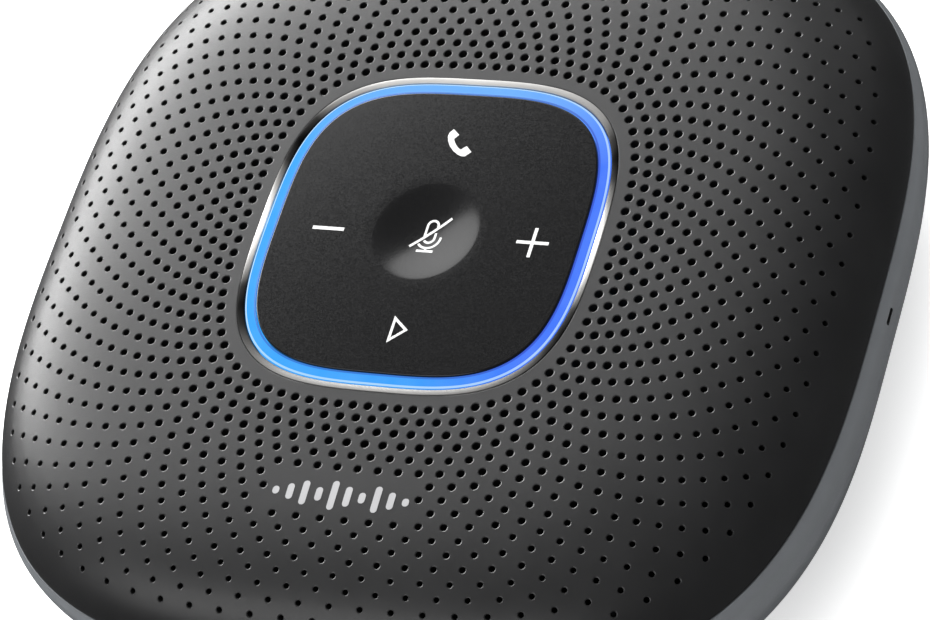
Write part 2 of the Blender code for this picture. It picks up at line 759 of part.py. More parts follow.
def cells():
    for side, x in (("left", -CELL_X), ("right", CELL_X)):
        end = CELL_LENGTH / 2

        def along_y(name, radius, first, last, look):
            return cylinder(name, radius, (x, first, CELL_Z), (x, last, CELL_Z), look, segments=24)

        cell = along_y(f"battery_cell_{side}", CELL_RADIUS, -end, end - 1.0, CELL_WRAP)
        join(cell, along_y(f"cell_cap_{side}", 3.0, end - 2.0, end, STEEL))
        centre = (x, 0, FLOOR_Z + TOUCH + 3.5)
        cradle = box(f"battery_cradle_{side}", (20.6, 46.0, 7.0), centre, INNER_PLASTIC)
        hollow_name = f"cradle_hollow_{side}"
        cut(cradle, along_y(hollow_name, CELL_RADIUS + 0.3, -end - 8, end + 8, INNER_PLASTIC))


def main_board():
    x, y, z = MAIN_BOARD_CENTRE
    box("main_board", MAIN_BOARD_SIZE, MAIN_BOARD_CENTRE, BOARD_GREEN)
    top = z + MAIN_BOARD_SIZE[2] / 2 + TOUCH
    box("processor_shield", (14.0, 9.0, 2.2), (7.0, y - 3.8, top + 1.1), STEEL, bevel=0.4)
    box("radio_module", (10.0, 9.0, 1.8), (-10.0, y - 3.8, top + 0.9), STEEL, bevel=0.3)
    usb = box("usb_c_socket", (8.9, 7.0, 3.2), (USB_X, 53.4, top + 1.6), STEEL, bevel=1.0)
    cut(usb, box("usb_mouth", (8.2, 9.0, 2.4), (USB_X, 56.4, top + 1.6), STEEL, bevel=0.8))
    join(usb, box("usb_tongue", (6.6, 5.6, 0.7), (USB_X, 53.6, top + 1.6), INNER_PLASTIC))
    jack = box("audio_jack", (6.6, 11.0, 4.6), (JACK_X, 51.3, top + 2.3), INNER_PLASTIC, bevel=0.4)
    bore_ends = [(JACK_X, y, top + 2.3) for y in (47.0, 60.0)]
    cut(jack, cylinder("jack_bore", 1.8, *bore_ends, INNER_PLASTIC))
    for name, place in (("power_switch", POWER_X), ("pairing_switch", PAIRING_X)):
        switch = box(name, (4.6, 3.0, 3.2), (place, 51.6, top + 1.7), STEEL, bevel=0.3)
        reach = ((place, 52.5, PORT_Z), (place, 54.3, PORT_Z))
        join(switch, cylinder(f"{name}_plunger", 0.9, *reach, INNER_PLASTIC))


def side_button(name, x):
    """Pill-shaped button whose face follows the casing, with a flange behind the wall and a stem."""
    button = pill(name, x, 8.0, 3.6, (56.0, 66.0), SHELL_GREY)
    envelope = loft(f"{name}_envelope", casing_outside(swell=0.35), SHELL_GREY)
    boolean(button, "INTERSECT", [envelope])
    join(button, pill(f"{name}_flange", x, 9.6, 4.8, (55.2, 56.4), SHELL_GREY))
    join(button, cylinder(f"{name}_stem", 1.3, (x, 54.9, PORT_Z), (x, 55.8, PORT_Z), SHELL_GREY))
    pivot = (x, 56.0, PORT_Z)
    hang(button, axis_empty(f"{name}_axis", pivot), pivot)


def microphones():
    for i in range(MICROPHONES):
        x, y, facing = wall_frame(TAU * i / MICROPHONES, HALF_WIDTH - WALL - 2.2)
        box(f"microphone_{i + 1}", (1.2, 4.4, 2.6), (x, y, SLIT_Z - 0.4), BOARD_GREEN, turn=facing)


def control_ribbon():
    """Flat flex from the main board, over the loudspeaker's edge, up into the control cup."""
    route = [
        (33.2, 13.55),
        (29.6, 13.9),
        (28.3, 15.6),
        (28.3, 21.8),
        (27.0, 23.6),
        (22.2, 23.75),
        (20.6, 24.6),
        (20.6, 25.7),
    ]
    mesh = bpy.data.meshes.new("control_ribbon")
    half = 4.5
    points = [Vector((x, y, z)) * MM for y, z in route for x in (-half, half)]
    faces = [(i, i + 1, i + 3, i + 2) for i in range(0, len(points) - 2, 2)]
    mesh.from_pydata(points, [], faces)
    ribbon = add_object("control_ribbon", mesh, FLEX)
    thick = ribbon.modifiers.new("thickness", "SOLIDIFY")
    thick.thickness = 0.3 * MM
    thick.offset = 0.0
    return ribbon


def leads():
    control_ribbon()
    for side, sign in (("left", -1), ("right", 1)):
        route = [
            (17.0, 33.0, 14.2),
            (22.0, 33.6, 15.0),
            (30.0, 34.6, 15.2),
            (35.0, 34.6, 14.8),
            (38.5, 33.6, 14.6),
        ]
        wire(f"battery_lead_{side}", [(x * sign, y, z) for x, y, z in route], 0.6, WIRE_RED)
    route = [(11.0, 32.4, 14.4), (12.0, 29.6, 15.5), (13.0, 28.2, 18.0), (13.5, 27.6, 20.0)]
    wire("speaker_lead", route, 0.6, WIRE_RED)


base_casing()
top_cover()
acoustic_scrim()
foot_ring()
casing_screws()
centre_module()
loudspeaker()
cells()
main_board()
side_button("power_button", POWER_X)
side_button("pairing_button", PAIRING_X)
microphones()
leads()
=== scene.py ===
"""Conference speakerphone: the visible surfaces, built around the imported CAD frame.

Lengths in this file are millimetres until they reach a mesh, where MM turns them into metres.
"""

import math

import bpy
import numpy as np
from mathutils import Euler, Matrix, Vector


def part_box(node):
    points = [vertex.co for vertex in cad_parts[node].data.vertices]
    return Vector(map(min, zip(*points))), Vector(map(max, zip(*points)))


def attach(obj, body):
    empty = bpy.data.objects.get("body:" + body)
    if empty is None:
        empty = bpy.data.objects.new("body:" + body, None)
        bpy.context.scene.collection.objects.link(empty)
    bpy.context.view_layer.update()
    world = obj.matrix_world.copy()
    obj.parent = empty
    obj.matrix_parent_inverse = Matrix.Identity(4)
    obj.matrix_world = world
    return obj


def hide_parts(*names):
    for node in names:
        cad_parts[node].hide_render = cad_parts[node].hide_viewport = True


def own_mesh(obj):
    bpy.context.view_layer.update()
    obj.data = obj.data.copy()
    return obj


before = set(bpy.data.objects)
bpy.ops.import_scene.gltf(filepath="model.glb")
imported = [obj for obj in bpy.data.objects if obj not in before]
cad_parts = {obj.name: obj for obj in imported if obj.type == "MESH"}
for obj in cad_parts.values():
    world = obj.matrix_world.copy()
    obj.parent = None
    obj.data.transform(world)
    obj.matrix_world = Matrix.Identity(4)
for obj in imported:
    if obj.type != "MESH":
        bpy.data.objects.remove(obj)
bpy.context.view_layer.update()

MM = 0.001
TAU = 2 * math.pi
SHARP = math.radians(35)
SCENE = bpy.context.scene

# Cover: (half width)^CROWN_WIDTH + (height)^CROWN_DRAW = 1, on superellipse plan sections
PARTING_Z = 24.0
CROWN_HEIGHT = 10.6
CROWN_HALF_WIDTH = 60.12
CROWN_DRAW = 1.962
CROWN_WIDTH = 7.363
CROWN_EXPONENTS = (3.13, 2.71)
COVER_WALL = 1.6
COVER_HOLE = 24.76
BORE_SHORT = 0.02  # each bore stops this short of the inside, and the last step flares out to it
CENTRE_EXPONENT = 3.25
CENTRE_STEPS = 344  # mesh steps round the bezel and the light ring

# Perforation: rings of holes, each ring turned half a hole from the last
RINGS = 17
HOLES_PER_RING = 86
GRILLE_EXPONENT = 3.229
FIRST_RING = 26.93
RING_PITCH = 1.841
HOLE_DIAMETERS = [1.17] * 4 + [1.07] * 3 + [0.98] * 3 + [0.88] * 3 + [0.78] * 4
CHAMFER = 0.13
CHAMFER_DEPTH = 0.06
BLIND_RINGS = (6, 7, 8)  # these leave out their front holes, for the level mark
BLIND_HALF_LENGTH = 10.5
SIDE = 4  # mesh steps along each side of a hole's cell
STEPS_ROUND = SIDE * HOLES_PER_RING  # mesh steps in a whole ring

# Control pad and its ring
PAD_EXPONENT = 3.41
PAD_HALF_WIDTH = 22.02
PAD_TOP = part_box("control_pad")[1].z / MM
PAD_UNDER = 33.0
PAD_FOOT_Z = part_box("control_pad")[0].z / MM
KEY_OFFSET = 14.9
DISH_DEPTH = 0.67
DISH_RADIUS = 7.65
DISH_SHARES = (1.0, 0.98, 0.94, 0.88, 0.8, 0.68, 0.5, 0.3, 0.13)
DISH = [(share * DISH_RADIUS, DISH_DEPTH * (1 - share**2) ** 1.5) for share in DISH_SHARES]
LIGHT_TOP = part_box("light_ring")[1].z / MM
LIGHT_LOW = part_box("light_ring")[0].z / MM

# Casing
CASING_OUTSIDE = [
    (51.2, 2.7, 1.6),
    (53.7, 2.7, 2.2),
    (55.3, 2.7, 3.6),
    (57.4, 2.82, 9.5),
    (60.1, 2.93, 15.4),
    (61.5, 3.0, 20.9),
    (61.1, 3.07, 22.6),
    (60.25, 3.13, 23.75),
]
CASING_INSIDE = [
    (58.4, 3.1, 23.75),
    (58.9, 3.0, 20.9),
    (57.0, 2.88, 11.5),
    (53.4, 2.7, 4.8),
    (52.4, 2.7, 4.0),
]
WIDEST = 61.5
QUARTERS = ((1, 1), (-1, 1), (-1, -1), (1, -1))
PORT_Z = 14.9
BUTTON_X = {"power": 15.0, "pairing": -15.0}
BUTTON_SIZE = (8.0, 3.6)
BUTTON_PROUD = 0.35  # how far the rear buttons stand out of the casing
FLANGE_SIZE = (9.6, 4.8)
FLANGE_Y = (55.2, 56.3)
REAR_CUT = (50.0, 70.0)  # the rear openings are cut from and to this far back
CASE_SCREW_XY = (25.0, 41.0)
DRIVER_SCREW_XY = (20.2, 20.2)
FOOT_EXPONENT = 2.7
SLITS = 6
SLIT_SIZE = (2.6, 0.55)
SLIT_PLACE = (60.6, 3.0, 22.1)  # half width, exponent and height of the wall where the slits are

# Signs
SIGN_SHIFT = (0.18, -0.2)  # the print sits this far off the middle of the pad
MUTE_SHIFT = (0.3, -0.34)
SIGN_ROOT = 0.05  # how far a printed shape reaches into its surface
SIGN_STEP = 0.002  # each shape of a sign is this much higher than the last, so that none coincide

# Camera, in metres and degrees, fitted to the photograph: it looks down from the front right, and is rolled
CAMERA_PLACE = (0.22945, -0.25994, 0.45561)
CAMERA_ANGLES = (34.262, 18.212, 16.920)
CAMERA_LENS = 159.81


# ---------------------------------------------------------------- materials


class Nodes:
    """Short calls for building one material's node tree."""

    def __init__(self, name):
        self.material = bpy.data.materials.new(name)
        self.material.use_nodes = True
        self.tree = self.material.node_tree
        self.shader = self.tree.nodes["Principled BSDF"]
        self.place = self.add("ShaderNodeTexCoord").outputs["Object"]

    def add(self, kind, **values):
        node = self.tree.nodes.new(kind)
        for key, value in values.items():
            setattr(node, key, value)
        return node

    def link(self, source, target):
        self.tree.links.new(source, target)

    def noise(self, size, detail=3.0, roughness=0.55):
        """Fractal noise whose features are about size millimetres."""
        node = self.add("ShaderNodeTexNoise")
        node.inputs["Scale"].default_value = 1 / (size * MM)
        node.inputs["Detail"].default_value = detail
        node.inputs["Roughness"].default_value = roughness
        self.link(self.place, node.inputs["Vector"])
        return node.outputs["Fac"]

    def spread(self, source, low, high, start=0.3, end=0.7):
        """A value running from low to high as the source goes from start to end."""
        node = self.add("ShaderNodeMapRange")
        for key, value in (("From Min", start), ("From Max", end), ("To Min", low), ("To Max", high)):
            node.inputs[key].default_value = value
        self.link(source, node.inputs["Value"])
        return node.outputs["Result"]

    def ramp(self, source, stops):
        node = self.add("ShaderNodeValToRGB")
        stops = [(place, (*colour, 1.0)) for place, colour in stops]
        elements = node.color_ramp.elements
        while len(elements) < len(stops):
            elements.new(0.5)
        for element, (place, colour) in zip(elements, stops):
            element.position = place
            element.color = colour
        self.link(source, node.inputs["Fac"])
        return node.outputs["Color"]

    def bump(self, height, strength, depth):
        node = self.add("ShaderNodeBump")
        node.inputs["Strength"].default_value = strength
        node.inputs["Distance"].default_value = depth * MM
        self.link(height, node.inputs["Height"])
        self.link(node.outputs["Normal"], self.shader.inputs["Normal"])

    def math(self, operation, *values):
        node = self.add("ShaderNodeMath", operation=operation)
        for socket, value in zip(node.inputs, values):
            if isinstance(value, (int, float)):
                socket.default_value = value
            else:
                self.link(value, socket)
        return node.outputs[0]

    def axis(self, letter):
        node = self.add("ShaderNodeSeparateXYZ")
        self.link(self.place, node.inputs[0])
        return node.outputs[letter]


def scaled(colour, factor):
    """The colour made lighter or darker, with no channel above 1."""
    return tuple(min(channel * factor, 1.0) for channel in colour)


def finish_of(
    name, colour, rough, metallic=0.0, grain=0.25, relief=0.012, strength=0.25, mottle=6.0, vary=0.12, **more
):
    """Moulded, painted or plated surface: fine grain in relief and roughness, slow change of colour."""
    n = Nodes(name)
    fine = n.noise(grain)
    slow = n.noise(mottle, detail=4.0)
    tones = [(0.3, scaled(colour, 1 - vary)), (0.7, scaled(colour, 1 + vary))]
    n.link(n.ramp(slow, tones), n.shader.inputs["Base Color"])
    n.link(n.spread(fine, rough - 0.05, rough + 0.05), n.shader.inputs["Roughness"])
    n.shader.inputs["Metallic"].default_value = metallic
    for key, value in more.items():
        n.shader.inputs[key].default_value = value
    n.bump(fine, strength, relief)
    return n.material


def woven(name, colour, thread):
    """Plain weave from two crossed bands."""
    n = Nodes(name)
    bands = []
    for direction in ("X", "Y"):
        wave = n.add("ShaderNodeTexWave", wave_type="BANDS", bands_direction=direction)
        wave.inputs["Scale"].default_value = 0.314 / (thread * MM)
        wave.inputs["Distortion"].default_value = 0.4
        n.link(n.place, wave.inputs["Vector"])
        bands.append(wave.outputs["Fac"])
    weave = n.math("MULTIPLY", *bands)
    n.link(n.ramp(weave, [(0.0, scaled(colour, 0.35)), (0.6, colour)]), n.shader.inputs["Base Color"])
    n.shader.inputs["Roughness"].default_value = 0.95
    n.shader.inputs["Sheen Weight"].default_value = 0.2
    n.bump(weave, 0.8, 0.08)
    return n.material


def wound(name, colour, wire):
    """Enamelled wire wound round Z."""
    n = Nodes(name)
    wave = n.add("ShaderNodeTexWave", wave_type="BANDS", bands_direction="Z")
    wave.inputs["Scale"].default_value = 0.314 / (wire * MM)
    n.link(n.place, wave.inputs["Vector"])
    turns = wave.outputs["Fac"]
    n.link(n.ramp(turns, [(0.0, scaled(colour, 0.3)), (0.5, colour)]), n.shader.inputs["Base Color"])
    n.shader.inputs["Metallic"].default_value = 1.0
    n.shader.inputs["Roughness"].default_value = 0.3
    n.bump(turns, 0.8, 0.06)
    return n.material


def circuit_board(name, colour, trace):
    """Solder mask with fine tracks under it."""
    n = Nodes(name)
    tracks = n.add("ShaderNodeTexBrick")
    tracks.inputs["Scale"].default_value = 180.0
    tracks.inputs["Mortar Size"].default_value = 0.03
    tracks.inputs["Color1"].default_value = (*colour, 1.0)
    tracks.inputs["Color2"].default_value = (*scaled(colour, 0.85), 1.0)
    tracks.inputs["Mortar"].default_value = (*trace, 1.0)
    n.link(n.place, tracks.inputs["Vector"])
    n.link(tracks.outputs["Color"], n.shader.inputs["Base Color"])
    n.link(n.spread(n.noise(0.6), 0.3, 0.42), n.shader.inputs["Roughness"])
    n.bump(tracks.outputs["Fac"], 0.5, 0.03)
    return n.material


def light_guide(name, strength, paler, tint=(0.62, 0.86, 1.0)):
    """Lit clear plastic: sky blue, turning violet to the right and lighter to the rear.

    strength is how brightly it glows, and paler is the share of the tint.
    """
    n = Nodes(name)
    across = n.spread(n.axis("X"), 0.0, 1.0, -0.024, 0.024)
    back = n.spread(n.axis("Y"), 0.0, 1.0, 0.012, 0.025)
    sky, blue, violet = (0.03, 0.39, 1.0), (0.042, 0.35, 0.95), (0.055, 0.185, 0.97)
    hue = n.ramp(across, [(0.12, sky), (0.6, blue), (0.9, violet)])
    lighter = n.add("ShaderNodeMix", data_type="RGBA")
    lighter.inputs["B"].default_value = (0.2, 0.48, 1.0, 1.0)
    n.link(n.math("MULTIPLY", back, 0.75), lighter.inputs["Factor"])
    n.link(hue, lighter.inputs["A"])
    lip = n.add("ShaderNodeMix", data_type="RGBA")
    lip.inputs["B"].default_value = (*tint, 1.0)
    n.link(n.spread(n.noise(5.0), paler, paler + 0.05), lip.inputs["Factor"])
    n.link(lighter.outputs["Result"], lip.inputs["A"])
    n.link(lip.outputs["Result"], n.shader.inputs["Emission Color"])
    n.shader.inputs["Emission Strength"].default_value = strength
    n.shader.inputs["Base Color"].default_value = (0.0, 0.004, 0.02, 1.0)
    n.shader.inputs["Specular IOR Level"].default_value = 0.1
    n.link(n.spread(n.noise(1.5), 0.3, 0.4), n.shader.inputs["Roughness"])
    return n.material


# Painted reflection: dark and light streaks set in the plated ring's colour by azimuth, in degrees
# anticlockwise from +X.
# The tones were set against brightness readings taken round the photograph's ring.
PAINTED_REFLECTION_TONES = {
    -180: 0.92,
    -165: 0.3,
    -157: 0.02,
    -150: 0.004,
    -143: 0.015,
    -135: 0.07,
    -120: 0.19,
    -90: 0.25,
    -60: 0.16,
    -45: 0.06,
    -37: 0.015,
    -30: 0.006,
    -23: 0.02,
    -15: 0.2,
    0: 0.75,
    15: 0.13,
    23: 0.015,
    30: 0.001,
    37: 0.02,
    45: 0.14,
    60: 0.28,
    90: 0.42,
    120: 0.37,
    135: 0.17,
    142: 0.02,
    150: 0.001,
    158: 0.02,
    165: 0.19,
    180: 0.92,
}


def plated_ring_painted_reflections(name, rough):
    """Plating with painted reflections: dark and light streaks set in its colour, running round the ring by
    azimuth.
    """
    n = Nodes(name)
    turn = n.add("ShaderNodeTexGradient", gradient_type="RADIAL")
    n.link(n.place, turn.inputs["Vector"])
    stops = []
    for azimuth, painted_tone in PAINTED_REFLECTION_TONES.items():
        stops.append(((azimuth + 180) / 360, (painted_tone, painted_tone * 0.985, painted_tone * 0.96)))
    n.link(n.ramp(turn.outputs["Fac"], stops), n.shader.inputs["Base Color"])
    n.link(n.spread(n.noise(0.8), rough - 0.03, rough + 0.03), n.shader.inputs["Roughness"])
    n.shader.inputs["Metallic"].default_value = 0.35
    n.shader.inputs["Specular IOR Level"].default_value = 0.0
    return n.material


# What each of the part's materials becomes
LOOKS = {
    "cover_black": finish_of(
        "satin_cover",
        (0.0095, 0.0095, 0.0098),
        0.4,
        grain=0.22,
        relief=0.02,
        strength=0.5,
    ),
    "shell_grey": finish_of("satin_shell", (0.115, 0.122, 0.13), 0.42, grain=0.22, vary=0.05),
    "pad_black": finish_of(
        "soft_touch_pad",
        (0.0052, 0.0052, 0.0054),
        0.155,
        grain=0.2,
        relief=0.004,
        vary=0.06,
        **{"Specular IOR Level": 0.42},
    ),
    # The plated ring's colour carries painted reflections.
    "bezel_chrome": plated_ring_painted_reflections("plated_ring_painted_reflections", 0.36),
    "foot_rubber": finish_of("foot_rubber", (0.012, 0.012, 0.012), 0.75, grain=0.4, relief=0.03),
    "silicone": finish_of("silicone", (0.62, 0.62, 0.6), 0.55, grain=0.6, **{"Subsurface Weight": 0.1}),
    "inner_plastic": finish_of("inner_plastic", (0.022, 0.022, 0.024), 0.55, grain=0.3),
    "steel": finish_of("brushed_steel", (0.55, 0.56, 0.58), 0.3, metallic=1.0, grain=0.3, vary=0.06),
    "zinc_plate": finish_of("zinc_plate", (0.6, 0.57, 0.48), 0.4, metallic=1.0, grain=0.7, mottle=3.0),
    "ferrite": finish_of("ferrite", (0.05, 0.05, 0.055), 0.65, grain=0.3, relief=0.04),
    "cone_paper": finish_of("cone_paper", (0.03, 0.03, 0.033), 0.85, grain=0.5, relief=0.06, strength=0.6),
    "copper": wound("copper_coil", (0.75, 0.36, 0.18), 0.25),
    "board_green": circuit_board("board_green", (0.005, 0.035, 0.018), (0.02, 0.09, 0.04)),
    "cell_wrap": finish_of("cell_wrap", (0.06, 0.22, 0.45), 0.3, grain=1.2, relief=0.02),
    "scrim": woven("scrim_cloth", (0.006, 0.006, 0.0065), 0.2),
    "flex_amber": finish_of("flex_amber", (0.5, 0.22, 0.04), 0.35, grain=1.0),
    "lead_wire": finish_of("lead_sleeve", (0.42, 0.02, 0.02), 0.45, grain=0.5),
    "light_guide": light_guide("light_band", 0.97, 0.0),
}
LIGHT_LIP = light_guide("light_lip", 1.0, 0.62)
# Painted shade: the lit guide's inner edge glows dimmer and deeper blue, standing in for the shade where the
# ring meets the pad.
LIGHT_EDGE_PAINTED_SHADE = light_guide("light_edge_painted_shade", 0.75, 0.35, (0.08, 0.08, 0.7))
PRINT_WHITE = finish_of("print_white", (0.53, 0.53, 0.525), 0.5, grain=0.1, vary=0.03)
MARK_GREY = finish_of("mark_grey", (0.28, 0.28, 0.285), 0.35, grain=0.1, vary=0.05)

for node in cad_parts.values():
    for material_slot in node.material_slots:
        material_slot.material = LOOKS[material_slot.material.name.split(".")[0]]


# ---------------------------------------------------------------- shapes


def squircle(exponent, arc):
    """Points of the unit superellipse at these fractions of its length, anticlockwise from +X."""
    angle = np.linspace(0, TAU, 2881)
    c, s = np.cos(angle), np.sin(angle)
    reach = (np.abs(c) ** exponent + np.abs(s) ** exponent) ** (-1 / exponent)
    x, y = reach * c, reach * s
    run = np.concatenate([[0], np.cumsum(np.hypot(np.diff(x), np.diff(y)))])
    at = (np.asarray(arc) % 1.0) * run[-1]
    return np.stack([np.interp(at, run, x), np.interp(at, run, y)], axis=-1)


def crown_share(x, y):
    """How far up the crown, from 0 to 1, the cover's outside is over these plan points."""
    low, high = CROWN_EXPONENTS
    x, y = np.abs(x), np.abs(y)
    share = np.full(np.shape(x), 0.5)
    for _ in range(60):
        exponent = low + (high - low) * share
        width = (x**exponent + y**exponent) ** (1 / exponent) / CROWN_HALF_WIDTH
        share = (share + np.maximum(1 - width**CROWN_WIDTH, 0) ** (1 / CROWN_DRAW)) / 2
    return share


def crown_z(x, y):
    """Height of the cover's outside over these plan points."""
    return PARTING_Z + CROWN_HEIGHT * crown_share(x, y)


def crown_normal(points):
    """Outward normals of the cover's outside, from the slope of its implicit function."""
    low, high = CROWN_EXPONENTS

    def field(p):
        share = np.clip((p[:, 2] - PARTING_Z) / CROWN_HEIGHT, 0, 1)
        exponent = low + (high - low) * share
        width = (np.abs(p[:, 0]) ** exponent + np.abs(p[:, 1]) ** exponent) ** (1 / exponent)
        return (width / CROWN_HALF_WIDTH) ** CROWN_WIDTH + share**CROWN_DRAW

    step = 1e-3 * np.eye(3)
    slope = np.stack([field(points + d) - field(points - d) for d in step], axis=-1)
    return slope / np.linalg.norm(slope, axis=1)[:, None]


def add_mesh(name, points, faces, looks, body, look_of_face=None, replaces=(), sharp=SHARP):
    """Makes a smooth-shaded piece from points in millimetres and lets it ride on a body."""
    mesh = bpy.data.meshes.new(name)
    mesh.from_pydata((np.asarray(points, float) * MM).tolist(), [], [tuple(map(int, f)) for f in faces])
    for look in looks:
        mesh.materials.append(look)
    if look_of_face is not None:
        mesh.polygons.foreach_set("material_index", look_of_face)
    mesh.validate()
    mesh.shade_smooth()
    mesh.set_sharp_from_angle(angle=sharp)
    piece = bpy.data.objects.new(name, mesh)
    SCENE.collection.objects.link(piece)
    if body:
        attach(piece, body)
    if replaces:
        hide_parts(*replaces)
    return piece


def curve_through(stations, steps):
    """Smooth curve through stations of (half width, exponent, height)."""
    s = np.array(stations, float)
    t = np.concatenate([[0], np.cumsum(np.hypot(np.diff(s[:, 0]), np.diff(s[:, 2])))])
    slope = np.gradient(s, t, axis=0)
    rows = []
    for i in range(len(s) - 1):
        gap = t[i + 1] - t[i]
        for k in range(steps):
            u = k / steps
            rows.append(
                (2 * u**3 - 3 * u**2 + 1) * s[i]
                + (u**3 - 2 * u**2 + u) * gap * slope[i]
                + (3 * u**2 - 2 * u**3) * s[i + 1]
                + (u**3 - u**2) * gap * slope[i + 1]
            )
    rows.append(s[-1])
    return [tuple(row) for row in rows]


def softened(profile, reach, steps=4):
    """The closed profile with each corner rounded off, starting this far from it."""
    p = [np.array(q, float) for q in profile]
    made = []
    for i, corner in enumerate(p):
        ends = []
        for other in (p[i - 1], p[(i + 1) % len(p)]):
            length = math.hypot(other[0] - corner[0], other[2] - corner[2])
            ends.append(corner + (other - corner) * min(reach / length, 0.45))
        for k in range(steps + 1):
            u = k / steps
            made.append((1 - u) ** 2 * ends[0] + 2 * u * (1 - u) * corner + u**2 * ends[1])
    return [tuple(q) for q in made]


def loft_data(sections, around, ring):
    """Points and faces through superellipse sections (half width, exponent, height), up the outer side."""
    arcs = np.arange(around) / around
    rows = []
    for half_width, exponent, height in sections:
        plan = squircle(exponent, arcs) * half_width
        rows.append(np.column_stack([plan, np.full(around, height)]))
    faces = []
    bands = [(k, k + 1) for k in range(len(rows) - 1)]
    if ring:
        bands.append((len(rows) - 1, 0))
    for low, high in bands:
        for i in range(around):
            j = (i + 1) % around
            faces.append((low * around + i, low * around + j, high * around + j, high * around + i))
    points = np.concatenate(rows)
    if not ring:
        count = len(points)
        last = count - around
        caps = np.array([[0, 0, sections[0][2]], [0, 0, sections[-1][2]]])
        points = np.concatenate([points, caps])
        for i in range(around):
            j = (i + 1) % around
            faces.append((j, i, count))
            faces.append((last + i, last + j, count + 1))
    return points, faces


def boolean(piece, operation, tools, look=None):
    """Joins or cuts a piece with tool meshes that don't touch one another; cut faces take the look."""
    points, faces = [], []
    for tool_points, tool_faces in tools:
        start = len(points)
        points.extend(np.asarray(tool_points).tolist())
        faces.extend([tuple(start + int(i) for i in face) for face in tool_faces])
    tool = add_mesh("tool", points, faces, [look or piece.data.materials[0]], None)
    modifier = piece.modifiers.new("tool", "BOOLEAN")
    modifier.operation = operation
    modifier.solver = "EXACT"
    modifier.material_mode = "TRANSFER"
    modifier.object = tool
    bpy.context.view_layer.update()
    evaluated = piece.evaluated_get(bpy.context.evaluated_depsgraph_get())
    made = bpy.data.meshes.new_from_object(evaluated)
    piece.modifiers.remove(modifier)
    piece.data = made
    made.shade_smooth()
    made.set_sharp_from_angle(angle=SHARP)
    bpy.data.objects.remove(tool)


def bar_data(outline, start, end, directions):
    """Prism: a closed outline of (u, v) carried from start to end along the third axis."""
    across, up, along = [np.array(a, float) for a in directions]
    count = len(outline)
    points = []
    for reach in (start, end):
        for u, v in outline:
            points.append(across * u + up * v + along * reach)
    faces = [tuple(range(count))[::-1], tuple(range(count, 2 * count))]
    for i in range(count):
        j = (i + 1) % count
        faces.append((i, j, count + j, count + i))
    return np.array(points), faces


def circle(radius, centre=(0.0, 0.0), count=32):
    return [
        (centre[0] + radius * math.cos(TAU * k / count), centre[1] + radius * math.sin(TAU * k / count))
        for k in range(count)
    ]


def pill(length, height, centre=(0.0, 0.0), steps=10):
    """Outline with straight long sides and round ends, anticlockwise."""
    radius = height / 2
    side = length / 2 - radius
    outline = []
    for middle, first in ((side, -math.pi / 2), (-side, math.pi / 2)):
        for k in range(steps + 1):
            angle = first + math.pi * k / steps
            u = centre[0] + middle + radius * math.cos(angle)
            outline.append((u, centre[1] + radius * math.sin(angle)))
    return outline


UPRIGHT = ((1, 0, 0), (0, 1, 0), (0, 0, 1))
REARWARD = ((-1, 0, 0), (0, 0, 1), (0, 1, 0))


def posts(xy, radius, low, high):
    """Four upright round bars, one in each quarter of the plan."""
    return [bar_data(circle(radius, (sx * xy[0], sy * xy[1])), low, high, UPRIGHT) for sx, sy in QUARTERS]


# ---------------------------------------------------------------- perforated cover


